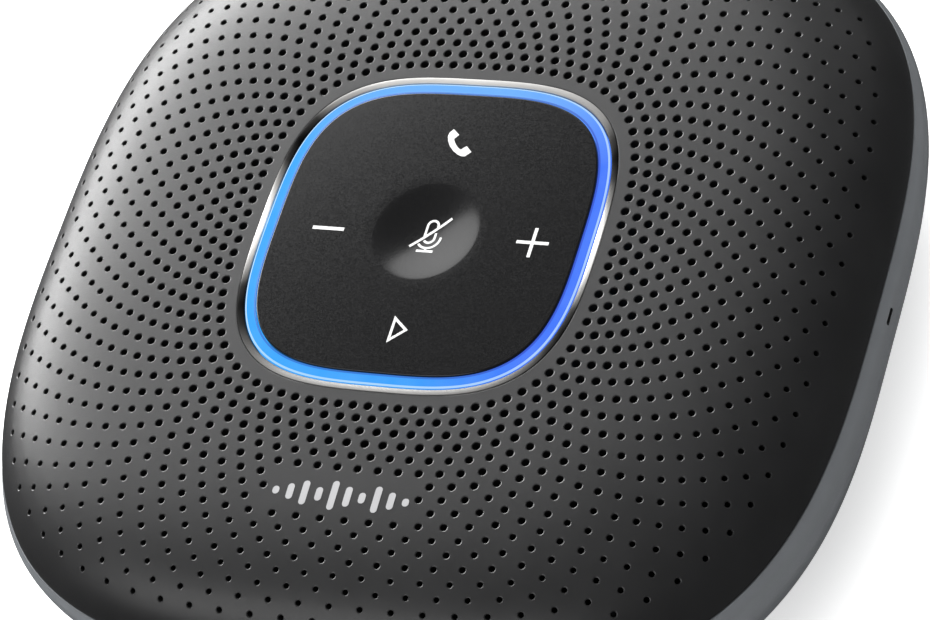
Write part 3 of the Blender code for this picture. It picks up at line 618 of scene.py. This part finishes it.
def perforated_cover():
    """The cover as one closed mesh, with every hole chamfered and cut through its wall."""
    points = []
    faces = []

    def add(rows):
        """Adds points and returns their indices, in the same shape."""
        start = sum(len(p) for p in points)
        flat = np.asarray(rows).reshape(-1, 3)
        points.append(flat)
        return (start + np.arange(len(flat))).reshape(np.shape(rows)[:-1])

    # The lattice: SIDE steps along each hole's cell, and SIDE steps from ring to ring.
    arcs = np.arange(STEPS_ROUND) / STEPS_ROUND
    unit = squircle(GRILLE_EXPONENT, arcs)
    levels = np.arange(RINGS * SIDE + 1)
    half_widths = FIRST_RING + RING_PITCH * (levels / SIDE - 0.5)
    plan = half_widths[:, None, None] * unit[None]
    lattice = np.concatenate([plan, crown_z(plan[..., 0], plan[..., 1])[..., None]], axis=-1)
    normals = crown_normal(lattice.reshape(-1, 3)).reshape(lattice.shape)
    used = np.zeros(lattice.shape[:2], bool)
    used[::SIDE] = True
    for ring in range(RINGS):
        corners = (np.arange(HOLES_PER_RING) * SIDE + ring * SIDE // 2) % len(arcs)
        used[ring * SIDE : (ring + 1) * SIDE + 1, corners] = True
    outer_index = np.full(used.shape, -1)
    inner_index = np.full(used.shape, -1)
    outer_index[used] = add(lattice[used])
    inner_index[used] = add(lattice[used] - COVER_WALL * normals[used])

    # Each hole's cell, whose border is walked anticlockwise from its inner corner.
    walk = [(k, 0) for k in range(SIDE)] + [(SIDE, k) for k in range(SIDE)]
    walk += [(SIDE - k, SIDE) for k in range(SIDE)] + [(0, SIDE - k) for k in range(SIDE)]
    turn = TAU * (-3 / 8 + np.arange(len(walk)) / len(walk))
    sides = list(zip(range(len(walk)), [*range(1, len(walk)), 0]))
    for ring in range(RINGS):
        first = np.arange(HOLES_PER_RING) * SIDE + ring * SIDE // 2
        border = [((ring * SIDE + up), (first + along) % len(arcs)) for up, along in walk]
        outer = np.stack([outer_index[level, along] for level, along in border], axis=1)
        inner = np.stack([inner_index[level, along] for level, along in border], axis=1)
        middle = (np.arange(HOLES_PER_RING) + 0.5 + 0.5 * ring) / HOLES_PER_RING
        spot = squircle(GRILLE_EXPONENT, middle) * (FIRST_RING + RING_PITCH * ring)
        ahead = squircle(GRILLE_EXPONENT, middle + 1e-3) * (FIRST_RING + RING_PITCH * ring)
        centre = np.column_stack([spot, crown_z(spot[:, 0], spot[:, 1])])
        up = crown_normal(centre)
        forward = np.column_stack([ahead, crown_z(ahead[:, 0], ahead[:, 1])]) - centre
        forward -= (forward * up).sum(1)[:, None] * up
        forward /= np.linalg.norm(forward, axis=1)[:, None]
        side = np.cross(forward, up)
        spoke = np.cos(turn)[None, :, None] * side[:, None] + np.sin(turn)[None, :, None] * forward[:, None]
        radius = HOLE_DIAMETERS[ring] / 2
        rim = centre[:, None] + (radius + CHAMFER) * spoke
        rim[..., 2] = crown_z(rim[..., 0], rim[..., 1])
        sink = up[:, None]
        edge = centre[:, None] + radius * spoke - CHAMFER_DEPTH * sink
        foot = centre[:, None] + radius * spoke - (COVER_WALL - BORE_SHORT) * sink
        blind = (ring in BLIND_RINGS) & (spot[:, 1] < 0) & (np.abs(spot[:, 0]) < BLIND_HALF_LENGTH)
        for hole in range(HOLES_PER_RING):
            if blind[hole]:
                caps = add(np.stack([centre[hole], centre[hole] - COVER_WALL * up[hole]]))
                for a, b in sides:
                    faces.append((outer[hole, a], outer[hole, b], caps[0]))
                    faces.append((inner[hole, b], inner[hole, a], caps[1]))
                continue
            loops = [outer[hole], add(rim[hole]), add(edge[hole]), add(foot[hole]), inner[hole]]
            for wide, narrow in zip(loops, loops[1:]):
                for a, b in sides:
                    faces.append((wide[a], wide[b], narrow[b], narrow[a]))

    def band(low, high):
        for i in range(len(arcs)):
            j = (i + 1) % len(arcs)
            faces.append((low[i], high[i], high[j], low[j]))

    # From the last ring out to the parting edge; the unseen inside needs only some of the rows.
    low_exponent, high_exponent = CROWN_EXPONENTS
    rows, inner_pitch = 10, 5
    start = plan[-1]
    start_share = crown_share(start[:, 0], start[:, 1])
    start_angle = np.unwrap(np.arctan2(start[:, 1], start[:, 0]))
    end = squircle(low_exponent, arcs)
    end_angle = np.unwrap(np.arctan2(end[:, 1], end[:, 0]))
    outer_row, inner_row = outer_index[-1], inner_index[-1]
    for k in range(1, rows + 1):
        t = k / rows
        share = start_share * (1 - t)
        angle = start_angle + (end_angle - start_angle) * t
        exponent = low_exponent + (high_exponent - low_exponent) * share
        c, s = np.cos(angle), np.sin(angle)
        reach = CROWN_HALF_WIDTH * (1 - share**CROWN_DRAW) ** (1 / CROWN_WIDTH)
        reach = reach * (np.abs(c) ** exponent + np.abs(s) ** exponent) ** (-1 / exponent)
        row = np.column_stack([reach * c, reach * s, PARTING_Z + CROWN_HEIGHT * share])
        new_outer = add(row)
        band(outer_row, new_outer)
        outer_row = new_outer
        if k % inner_pitch == 0:
            inside = row - COVER_WALL * crown_normal(row)
            inside[:, 2] = np.maximum(inside[:, 2], PARTING_Z)
            new_inner = add(inside)
            band(new_inner, inner_row)
            inner_row = new_inner
    band(outer_row, inner_row)

    # From the first ring in to the hole for the centre module, whose edge is rounded.
    ring_rows = [(25.6, 0.0), (25.0, 0.0), (24.82, 0.0), (24.78, 0.015), (COVER_HOLE, 0.07)]
    outer_row, inner_row = outer_index[0], inner_index[0]
    for half_width, drop in ring_rows:
        row_plan = squircle(CENTRE_EXPONENT, arcs) * half_width
        height = crown_z(row_plan[:, 0], row_plan[:, 1])
        new_outer = add(np.column_stack([row_plan, height - drop]))
        band(new_outer, outer_row)
        outer_row = new_outer
    row_plan = squircle(CENTRE_EXPONENT, arcs) * COVER_HOLE
    height = crown_z(row_plan[:, 0], row_plan[:, 1])
    under = add(np.column_stack([row_plan, height - COVER_WALL]))
    band(under, outer_row)
    band(inner_row, under)
    return add_mesh(
        "cover_perforated",
        np.concatenate(points),
        faces,
        [LOOKS["cover_black"]],
        "root",
        replaces=["top_cover"],
        sharp=math.radians(20),
    )


# ---------------------------------------------------------------- casing, foot and rear buttons


CASING_ROWS = [(min(w, WIDEST), n, z) for w, n, z in curve_through(CASING_OUTSIDE, 6)]


def casing_at(z):
    """Half width and exponent of the casing's outside at a height."""
    rows = np.array(CASING_ROWS)
    return np.interp(z, rows[:, 2], rows[:, 0]), np.interp(z, rows[:, 2], rows[:, 1])


def casing_y(x, z):
    """How far back the casing's rear wall stands at this x and height."""
    half_width, exponent = casing_at(z)
    return (half_width**exponent - abs(x) ** exponent) ** (1 / exponent)


def slit_tool(index):
    """Cutter for one microphone slit, square to the wall."""
    half_width, exponent, height = SLIT_PLACE
    angle = TAU * index / SLITS
    c, s = math.cos(angle), math.sin(angle)
    reach = half_width * (abs(c) ** exponent + abs(s) ** exponent) ** (-1 / exponent)
    x, y = reach * c, reach * s
    slope_x = math.copysign(abs(x) ** (exponent - 1), x)
    slope_y = math.copysign(abs(y) ** (exponent - 1), y)
    facing = math.atan2(slope_y, slope_x)
    out = np.array([math.cos(facing), math.sin(facing), 0.0])
    across = np.array([-math.sin(facing), math.cos(facing), 0.0])
    points, faces = bar_data(pill(*SLIT_SIZE, steps=6), -4.0, 4.0, (across, (0, 0, 1), out))
    return points + np.array([x, y, height]), faces


def shell():
    """The grey base casing, with its bosses, screw sinks, slits and rear openings."""
    groove = [(width, FOOT_EXPONENT, z) for width, z in ((39.6, 1.6), (39.6, 2.6), (48.4, 2.6), (48.4, 1.6))]
    points, faces = loft_data(groove + CASING_ROWS + CASING_INSIDE, 288, False)
    piece = add_mesh(
        "shell",
        points,
        faces,
        [LOOKS["shell_grey"]],
        "root",
        replaces=["base_casing"],
    )
    board_bosses = [bar_data(circle(2.2, (x, 34.0)), 3.4, 11.9, UPRIGHT) for x in (-15.0, 15.0)]
    screw_bosses = posts(CASE_SCREW_XY, 4.2, 3.4, 22.8) + posts(DRIVER_SCREW_XY, 3.0, 3.4, 20.6)
    boolean(piece, "UNION", screw_bosses + board_bosses)
    usb_opening = pill(9.8, 4.0, (4.5, PORT_Z))
    jack_opening = circle(3.1, (-6.0, PORT_Z + 0.5))
    button_openings = [pill(8.6, 4.2, (-x, PORT_Z)) for x in BUTTON_X.values()]
    rear = [bar_data(shape, *REAR_CUT, REARWARD) for shape in (usb_opening, jack_opening, *button_openings)]
    sinks = posts(CASE_SCREW_XY, 3.0, 0.0, 14.0) + posts(DRIVER_SCREW_XY, 1.3, 12.0, 22.0)
    boolean(piece, "DIFFERENCE", sinks + rear)
    # Painted shade: the slits' cut walls take the dark scrim cloth look, standing in for the shade inside
    # them.
    boolean(piece, "DIFFERENCE", [slit_tool(i) for i in range(SLITS)], LOOKS["scrim"])
    boolean(piece, "DIFFERENCE", posts(CASE_SCREW_XY, 1.8, 13.5, 25.0))


def foot():
    """The rubber ring that the object stands on."""
    profile = [(width, FOOT_EXPONENT, z) for width, z in ((48.0, 0.0), (48.0, 2.3), (40.0, 2.3), (40.0, 0.0))]
    points, faces = loft_data(softened(profile, 0.5), 240, True)
    looks = [LOOKS["foot_rubber"]]
    add_mesh("foot", points, faces, looks, "root", replaces=["foot_ring"])


def rear_face(middle):
    """Places (u, v) of a rear button's face, u to the right as seen from behind, on the bulging button."""

    def point(u, v, lift):
        x, z = middle - u, PORT_Z + v
        return x, casing_y(x, z) + BUTTON_PROUD + lift, z

    return point


def rear_button(name):
    """Pill button whose face follows the casing, slightly crowned, with a flange behind the wall."""
    middle = BUTTON_X[name]
    face = rear_face(middle)
    outline = pill(*BUTTON_SIZE, steps=14)
    flange = pill(*FLANGE_SIZE, steps=14)
    inner_y, outer_y = FLANGE_Y
    rows = []
    for shape, y in ((flange, inner_y), (flange, outer_y), (outline, outer_y)):
        rows.append([(middle - u, y, PORT_Z + v) for u, v in shape])
    for scale, drop in ((1.0, -0.32), (0.985, -0.12), (0.95, -0.02), (0.9, 0.0), (0.6, 0.0), (0.3, 0.0)):
        rows.append([face(u * scale, v * scale, drop) for u, v in outline])
    count = len(outline)
    faces = []
    for k in range(len(rows) - 1):
        for i in range(count):
            j = (i + 1) % count
            faces.append((k * count + i, k * count + j, (k + 1) * count + j, (k + 1) * count + i))
    points = [point for row in rows for point in row]
    points += [face(0.0, 0.0, 0.0), (middle, inner_y, PORT_Z)]
    last = (len(rows) - 1) * count
    for i in range(count):
        j = (i + 1) % count
        faces.append((last + i, last + j, len(points) - 2))
        faces.append((j, i, len(points) - 1))
    node = f"{name}_button"
    add_mesh(f"{name}_key", points, faces, [LOOKS["shell_grey"]], node, replaces=[node])


# ---------------------------------------------------------------- centre module


def bezel():
    """The plated edge: a flat crest, rounded to an upright wall on each side."""
    outer = [(24.72, 33.3), (24.72, 34.59), (24.71, 34.63), (24.69, 34.66), (24.65, 34.675)]
    crest = [(24.54, 34.68), (24.42, 34.68), (24.3, 34.67), (24.15, 34.64), (24.0, 34.6)]
    inner = [(23.92, 34.56), (23.88, 34.51), (23.86, 34.44), (23.86, 33.3)]
    sections = [(width, CENTRE_EXPONENT, z) for width, z in outer + crest + inner]
    points, faces = loft_data(sections, CENTRE_STEPS, True)
    looks = [LOOKS["bezel_chrome"]]
    add_mesh("bezel", points, faces, looks, "root", replaces=["centre_bezel"])


def light_ring():
    """The lit guide: a level band, a fine step, and a paler rounded lip outside it."""
    top = LIGHT_TOP
    outside = [(23.5, LIGHT_LOW), (23.75, LIGHT_LOW + 0.25), (23.75, top - 0.36)]
    lip = [(23.74, top - 0.25), (23.7, top - 0.15), (23.63, top - 0.07)]
    lip += [(23.55, top - 0.02), (23.46, top - 0.01)]
    step = [(23.42, top - 0.06), (23.37, top - 0.06)]
    band = [(23.32, top - 0.01), (22.8, top), (22.36, top)]
    edge = [(22.24, top + 0.02), (22.16, top + 0.08), (22.13, top + 0.07), (22.12, top - 0.1)]
    inside = [(22.12, LIGHT_LOW)]
    sections = []
    for half_width, z in outside + lip + step + band + edge + inside:
        share = min(max((half_width - 22.3) / 1.1, 0.0), 1.0)
        sections.append((half_width, PAD_EXPONENT + (CENTRE_EXPONENT - PAD_EXPONENT) * share, z))
    points, faces = loft_data(sections, CENTRE_STEPS, True)
    first_lip = len(outside) + 1
    last_lip = len(outside) + len(lip) - 1
    first_painted_shade_row = len(sections) - len(edge) - 2
    look_of_face = []
    for i in range(len(faces)):
        row = i // CENTRE_STEPS
        if first_lip <= row < last_lip:
            look_of_face.append(1)
        # The inner edge's faces take the painted shade look.
        elif first_painted_shade_row <= row < len(sections) - 2:
            look_of_face.append(2)
        else:
            look_of_face.append(0)
    add_mesh(
        "light_ring_guide",
        points,
        faces,
        [LOOKS["light_guide"], LIGHT_LIP, LIGHT_EDGE_PAINTED_SHADE],
        "root",
        look_of_face=look_of_face,
        replaces=["light_ring"],
    )


DISH_ROWS = [(reach, drop) for reach, _, drop in curve_through([(r, 2.0, d) for r, d in DISH], 4)]


def pad_z(x, y):
    """Height of the pad's top, dish included."""
    reaches, drops = zip(*DISH_ROWS[::-1])
    return PAD_TOP - np.interp(np.hypot(x, y), reaches, drops)


def control_pad():
    """The one-piece pad: a flat top with a soft edge, dished at the centre, with its feet and ears."""
    edge = PAD_HALF_WIDTH
    skirt = [(edge - 0.3, PAD_UNDER), (edge, PAD_UNDER + 0.2), (edge, PAD_TOP - 0.25)]
    soft = [(edge - 0.02, PAD_TOP - 0.14), (edge - 0.06, PAD_TOP - 0.06)]
    soft += [(edge - 0.11, PAD_TOP - 0.015), (edge - 0.16, PAD_TOP)]
    flat = edge - 0.22
    sections = [(w, PAD_EXPONENT, z) for w, z in [*skirt, *soft, (flat, PAD_TOP)]]
    steps = 10
    dish_start = DISH_ROWS[0][0]
    for k in range(1, steps):
        t = k / steps
        width = flat + (dish_start - flat) * t
        sections.append((width, PAD_EXPONENT + (2.0 - PAD_EXPONENT) * t, PAD_TOP))
    sections += [(radius, 2.0, PAD_TOP - drop) for radius, drop in DISH_ROWS]
    points, faces = loft_data(sections, 240, False)
    look = LOOKS["pad_black"]
    pad = add_mesh("pad", points, faces, [look], "pad", replaces=["control_pad"])
    feet = []
    for x, y in ((KEY_OFFSET, 0), (-KEY_OFFSET, 0), (0, KEY_OFFSET), (0, -KEY_OFFSET)):
        feet.append(bar_data(circle(1.5, (x, y)), PAD_FOOT_Z, PAD_UNDER + 0.4, UPRIGHT))
    for side in (1, -1):
        near, far = 5.5 * side - 0.9, 5.5 * side + 0.9
        ear = [(-1.3, near), (1.3, near), (1.3, far), (-1.3, far)]
        feet.append(bar_data(ear, 31.0, 33.4, UPRIGHT))
    boolean(pad, "UNION", feet)
    bore = bar_data(circle(0.7, (0.0, 32.0), 20), -7.0, 7.0, REARWARD)
    boolean(pad, "DIFFERENCE", [bore])


# ---------------------------------------------------------------- soft pieces inside


def key_mat():
    """Silicone mat with a hollow dome over each switch."""
    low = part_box("key_mat")[0].z / MM
    places = [(0, 0), (KEY_OFFSET, 0), (-KEY_OFFSET, 0), (0, KEY_OFFSET), (0, -KEY_OFFSET)]

    def domes(foot, top, start, end):
        made = []
        for place in places:
            points, faces = loft_data([(foot, 2.0, low + start), (top, 2.0, low + end)], 40, False)
            made.append((points + np.array([*place, 0.0]), faces))
        return made

    disc, faces = loft_data([(18.5, 2.0, low), (18.8, 2.0, low + 0.15), (18.8, 2.0, low + 0.6)], 120, False)
    look = LOOKS["silicone"]
    mat = add_mesh("silicone_mat", disc, faces, [look], "root", replaces=["key_mat"])
    boolean(mat, "UNION", domes(3.4, 2.6, 0.2, 2.17))
    boolean(mat, "DIFFERENCE", domes(2.9, 2.7, -1.0, 1.8))
    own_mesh(mat)


def spider():
    """Corrugated cloth disc that centres the coil, whose neck hangs low enough for the cone's stroke."""
    low, high = [corner.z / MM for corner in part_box("spider")]
    outer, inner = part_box("spider")[1].x / MM, 7.4
    thick, wave, neck, steps = 0.3, 0.28, 2.4, 48
    over = []
    for k in range(steps + 1):
        radius = inner + (outer - inner) * k / steps
        share = min((radius - inner) / neck, 1.0)
        sag = 0.95 * (1 - share * share * (3 - 2 * share))
        middle = (low + high + thick) / 2 - sag
        over.append((radius, middle + wave * share * math.sin(3 * TAU * k / steps)))
    profile = [(r, 2.0, z) for r, z in over] + [(r, 2.0, z - thick) for r, z in over[::-1]]
    points, faces = loft_data(profile[::-1], 120, True)
    look = woven("spider_cloth", (0.24, 0.15, 0.06), 0.35)
    add_mesh("spider_disc", points, faces, [look], "root", replaces=["spider"])


# ---------------------------------------------------------------- printed signs


class Print:
    """Thin printed shapes gathered into one mesh; surface(u, v, lift) places a point above its surface."""

    def __init__(self, surface, lift=0.03, shift=(0.0, 0.0)):
        self.surface = surface
        self.lift = lift
        self.shift = shift
        self.points = []
        self.faces = []
        self.count = 0

    def solid(self, rows, closed=False):
        """A strip through stations of (left, right) points."""
        top = self.lift + SIGN_STEP * self.count
        self.count += 1
        start = len(self.points)
        for left, right in rows:
            for (u, v), lift in ((left, top), (right, top), (right, -SIGN_ROOT), (left, -SIGN_ROOT)):
                self.points.append(self.surface(u + self.shift[0], v + self.shift[1], lift))
        spans = len(rows) if closed else len(rows) - 1
        for k in range(spans):
            a = start + 4 * k
            b = start + 4 * ((k + 1) % len(rows))
            for i in range(4):
                j = (i + 1) % 4
                self.faces.append((a + i, a + j, b + j, b + i))
        if not closed:
            last = start + 4 * (len(rows) - 1)
            self.faces.append((start + 3, start + 2, start + 1, start))
            self.faces.append((last, last + 1, last + 2, last + 3))

    def stroke(self, route, width, closed=False, pitch=0.35, round_ends=False):
        """A line of even width along a route, mitred at its corners."""
        fine = []
        ends = list(zip(route, route[1:] + route[:1])) if closed else list(zip(route, route[1:]))
        for a, b in ends:
            pieces = max(1, round(math.dist(a, b) / pitch))
            for k in range(pieces):
                fine.append((a[0] + (b[0] - a[0]) * k / pieces, a[1] + (b[1] - a[1]) * k / pieces))
        if not closed:
            fine.append(route[-1])
        path = np.array(fine)
        before = np.roll(path, 1, axis=0)
        after = np.roll(path, -1, axis=0)
        if not closed:
            before[0] = 2 * path[0] - path[1]
            after[-1] = 2 * path[-1] - path[-2]
        way_in = (path - before) / np.linalg.norm(path - before, axis=1)[:, None]
        way_out = (after - path) / np.linalg.norm(after - path, axis=1)[:, None]
        way = way_in + way_out
        way /= np.linalg.norm(way, axis=1)[:, None]
        square = np.column_stack([-way[:, 1], way[:, 0]])
        mitre = 1 / np.maximum((way * way_in).sum(1), 0.4)
        half = np.full(len(path), width / 2)
        if round_ends:
            run = np.concatenate([[0], np.cumsum(np.linalg.norm(np.diff(path, axis=0), axis=1))])
            inside = np.clip(np.minimum(run, run[-1] - run) + 0.02, 0, width / 2)
            half = np.sqrt(np.maximum((width / 2) ** 2 - (width / 2 - inside) ** 2, 1e-4))
        offset = square * (mitre * half)[:, None]
        rows = [(tuple(left), tuple(right)) for left, right in zip(path + offset, path - offset)]
        self.solid(rows, closed)

    def taper(self, left, right):
        """A solid between two matching edges."""
        self.solid(list(zip(left, right)))

    def place(self, name, look, body, slot):
        return add_mesh(name, self.points, self.faces, [look], body)


def arc(centre, radius, start, end, steps=14):
    """Points along a circular arc between two angles in degrees."""
    made = []
    for k in range(steps + 1):
        angle = math.radians(start + (end - start) * k / steps)
        made.append((centre[0] + radius * math.cos(angle), centre[1] + radius * math.sin(angle)))
    return made


def on_pad(shift=SIGN_SHIFT):
    """Print that lies on the pad's top."""
    return Print(lambda x, y, lift: (x, y, pad_z(x, y) + lift), shift=shift)


def call_sign():
    """A handset: two ear pieces joined by a curved grip, after points marked on the photograph."""
    sign = on_pad()
    inner = [(-0.02, 15.62), (-0.34, 15.22), (-0.57, 14.95), (-0.3, 14.42), (0.05, 13.98)]
    inner += [(0.42, 13.6), (0.92, 13.3), (1.3, 13.66), (1.62, 13.92)]
    outer = [(-1.06, 16.5), (-1.5, 15.95), (-1.6, 15.3), (-1.3, 14.5), (-0.8, 13.72)]
    outer += [(-0.1, 13.02), (0.75, 12.45), (1.35, 12.26), (1.82, 12.28)]
    sign.taper(inner, outer)
    sign.taper([(1.62, 13.92), (2.56, 13.02)], [(0.92, 13.3), (1.82, 12.28)])
    sign.place("sign_call", PRINT_WHITE, "pad", "pad_black")


def play_sign():
    """An outlined triangle pointing right."""
    sign = on_pad()
    sign.stroke([(-0.3, -13.5), (1.7, -15.12), (-0.3, -16.86)], 0.37, closed=True)
    sign.place("sign_play", PRINT_WHITE, "pad", "pad_black")


def volume_signs():
    """A minus to the left and a plus to the right."""
    minus = on_pad()
    minus.stroke([(-16.65, -0.44), (-12.0, -0.44)], 0.52)
    minus.place("sign_volume_down", PRINT_WHITE, "pad", "pad_black")
    plus = on_pad()
    plus.stroke([(13.1, -0.44), (17.7, -0.44)], 0.48)
    plus.stroke([(15.4, -2.7), (15.4, 1.84)], 0.48)
    plus.place("sign_volume_up", PRINT_WHITE, "pad", "pad_black")


def mute_sign():
    """A microphone in its holder, struck through."""
    sign = on_pad(MUTE_SHIFT)
    middle, radius, thin = 0.2, 0.76, 0.33
    low, high = (-2.22, -1.9), (2.68, 2.8)
    length = math.dist(low, high)

    def past_slash(point):
        """Distance from the slash, positive to its upper left."""
        across = (high[0] - low[0]) * (point[1] - low[1]) - (high[1] - low[1]) * (point[0] - low[0])
        return across / length

    rising = [(middle + radius, -0.32 + 0.1 * k) for k in range(1, 19)]
    falling = [(middle - radius, y) for _, y in rising[::-1]]
    foot, head = (middle, -0.32), (middle, 1.58)
    right_half = arc(foot, radius, 270, 360, 10) + rising + arc(head, radius, 0, 90, 10)
    left_half = arc(head, radius, 90, 180, 10) + falling + arc(foot, radius, 180, 270, 10)
    sign.stroke([p for p in right_half + left_half[1:] if past_slash(p) > 0.1], thin)
    sign.stroke([p for p in left_half + right_half[1:] if past_slash(p) < -0.42], thin)
    sign.stroke(arc((middle, -0.3), 1.66, -140, 5, 14), thin)
    sign.stroke([(middle, -1.9), (middle, -2.45)], thin)
    sign.stroke([(-1.05, -2.48), (1.37, -2.48)], thin + 0.04)
    sign.stroke([low, high], 0.38)
    sign.place("sign_mute", PRINT_WHITE, "pad", "pad_black")


def rear_signs():
    """Raised signs on the rear buttons: a power sign, and two linked rings for pairing."""
    thin, raised = 0.26, 0.08
    power = Print(rear_face(BUTTON_X["power"]), lift=raised)
    power.stroke(arc((0.0, -0.12), 0.85, 125, 415, 28), thin)
    power.stroke([(0.0, 0.1), (0.0, 1.1)], thin)
    power.place("sign_power", MARK_GREY, "power_button", "shell_grey")
    pairing = Print(rear_face(BUTTON_X["pairing"]), lift=raised)
    for side in (-1, 1):
        pairing.stroke(arc((0.48 * side, 0.0), 0.72, 0, 360, 28)[:-1], thin, closed=True)
    pairing.place("sign_pairing", MARK_GREY, "pairing_button", "shell_grey")


def level_mark():
    """A row of short bars, like a sound level, in the part of the cover that has no holes."""
    mark = Print(lambda x, y, lift: (x, y, crown_z(x, y) + lift), lift=0.02)
    heights = (1.1, 2.2, 3.4, 1.9, 4.1, 2.8, 1.5, 3.7, 2.4, 1.1)
    pitch, middle_y, thick = 2.05, -40.2, 0.95
    for k, height in enumerate(heights):
        x = 0.2 + pitch * (k - (len(heights) - 1) / 2)
        bar = [(x, middle_y - height / 2), (x, middle_y + height / 2)]
        mark.stroke(bar, thick, pitch=0.08, round_ends=True)
    mark.place("level_mark", MARK_GREY, "root", "cover_black")


# ---------------------------------------------------------------- floor, lights and camera


def floor():
    """A wide pale sheet just under the foot."""
    n = Nodes("floor_paper")
    slow = n.noise(60.0)
    tones = [(0.3, (0.86, 0.86, 0.86)), (0.7, (0.89, 0.89, 0.89))]
    n.link(n.ramp(slow, tones), n.shader.inputs["Base Color"])
    n.shader.inputs["Roughness"].default_value = 0.9
    n.shader.inputs["Specular IOR Level"].default_value = 0.1
    n.shader.inputs["Emission Color"].default_value = (1.0, 1.0, 1.0, 1.0)
    n.shader.inputs["Emission Strength"].default_value = 0.6
    reach = 3000.0
    corners = [(x * reach, y * reach, -0.05) for x, y in QUARTERS[2:] + QUARTERS[:2]]
    sheet = add_mesh("floor", corners, [(0, 1, 2, 3)], [n.material], None)
    sheet.visible_glossy = False


def soft_light(name, place, target, size, power, seen=True):
    """Rectangular studio light, in metres, facing its target."""
    data = bpy.data.lights.new(name, "AREA")
    data.shape = "RECTANGLE"
    data.size, data.size_y = size
    data.energy = power
    light = bpy.data.objects.new(name, data)
    SCENE.collection.objects.link(light)
    light.location = place
    light.rotation_euler = (Vector(target) - Vector(place)).to_track_quat("-Z", "Y").to_euler()
    light.visible_glossy = seen


def studio():
    """A dim surround and five soft lights."""
    world = bpy.data.worlds.new("studio")
    world.use_nodes = True
    background = world.node_tree.nodes["Background"]
    background.inputs["Color"].default_value = (0.95, 0.97, 1.0, 1.0)
    background.inputs["Strength"].default_value = 0.07
    SCENE.world = world
    middle = (0, 0, 0.02)
    soft_light("overhead", (-0.2, 0.3, 1.6), middle, (1.8, 1.8), 50.0, seen=False)
    soft_light("rear_left", (-1.09, 0.83, 0.42), middle, (1.32, 0.7), 38.2)
    soft_light("rear_high", (-0.72, 0.7, 0.87), middle, (1.3, 0.34), 5.0)
    soft_light("rear_right", (0.25, 1.15, 0.55), middle, (0.6, 0.6), 0.6)
    soft_light("front_left", (-0.6, -1.05, 0.98), middle, (1.4, 0.9), 10.5)


def camera():
    """The camera, at the photograph's place and angle."""
    data = bpy.data.cameras.new("camera")
    data.sensor_width = 36.0
    data.lens = CAMERA_LENS
    data.clip_start = 0.02
    data.clip_end = 20.0
    view = bpy.data.objects.new("camera", data)
    SCENE.collection.objects.link(view)
    turn = Euler([math.radians(angle) for angle in CAMERA_ANGLES], "XYZ").to_matrix()
    view.matrix_world = Matrix.Translation(CAMERA_PLACE) @ turn.to_4x4()
    SCENE.camera = view


SCENE.view_settings.view_transform = "Standard"
perforated_cover()
shell()
foot()
rear_button("power")
rear_button("pairing")
bezel()
light_ring()
control_pad()
key_mat()
spider()
call_sign()
play_sign()
volume_signs()
mute_sign()
rear_signs()
level_mark()
floor()
studio()
camera()
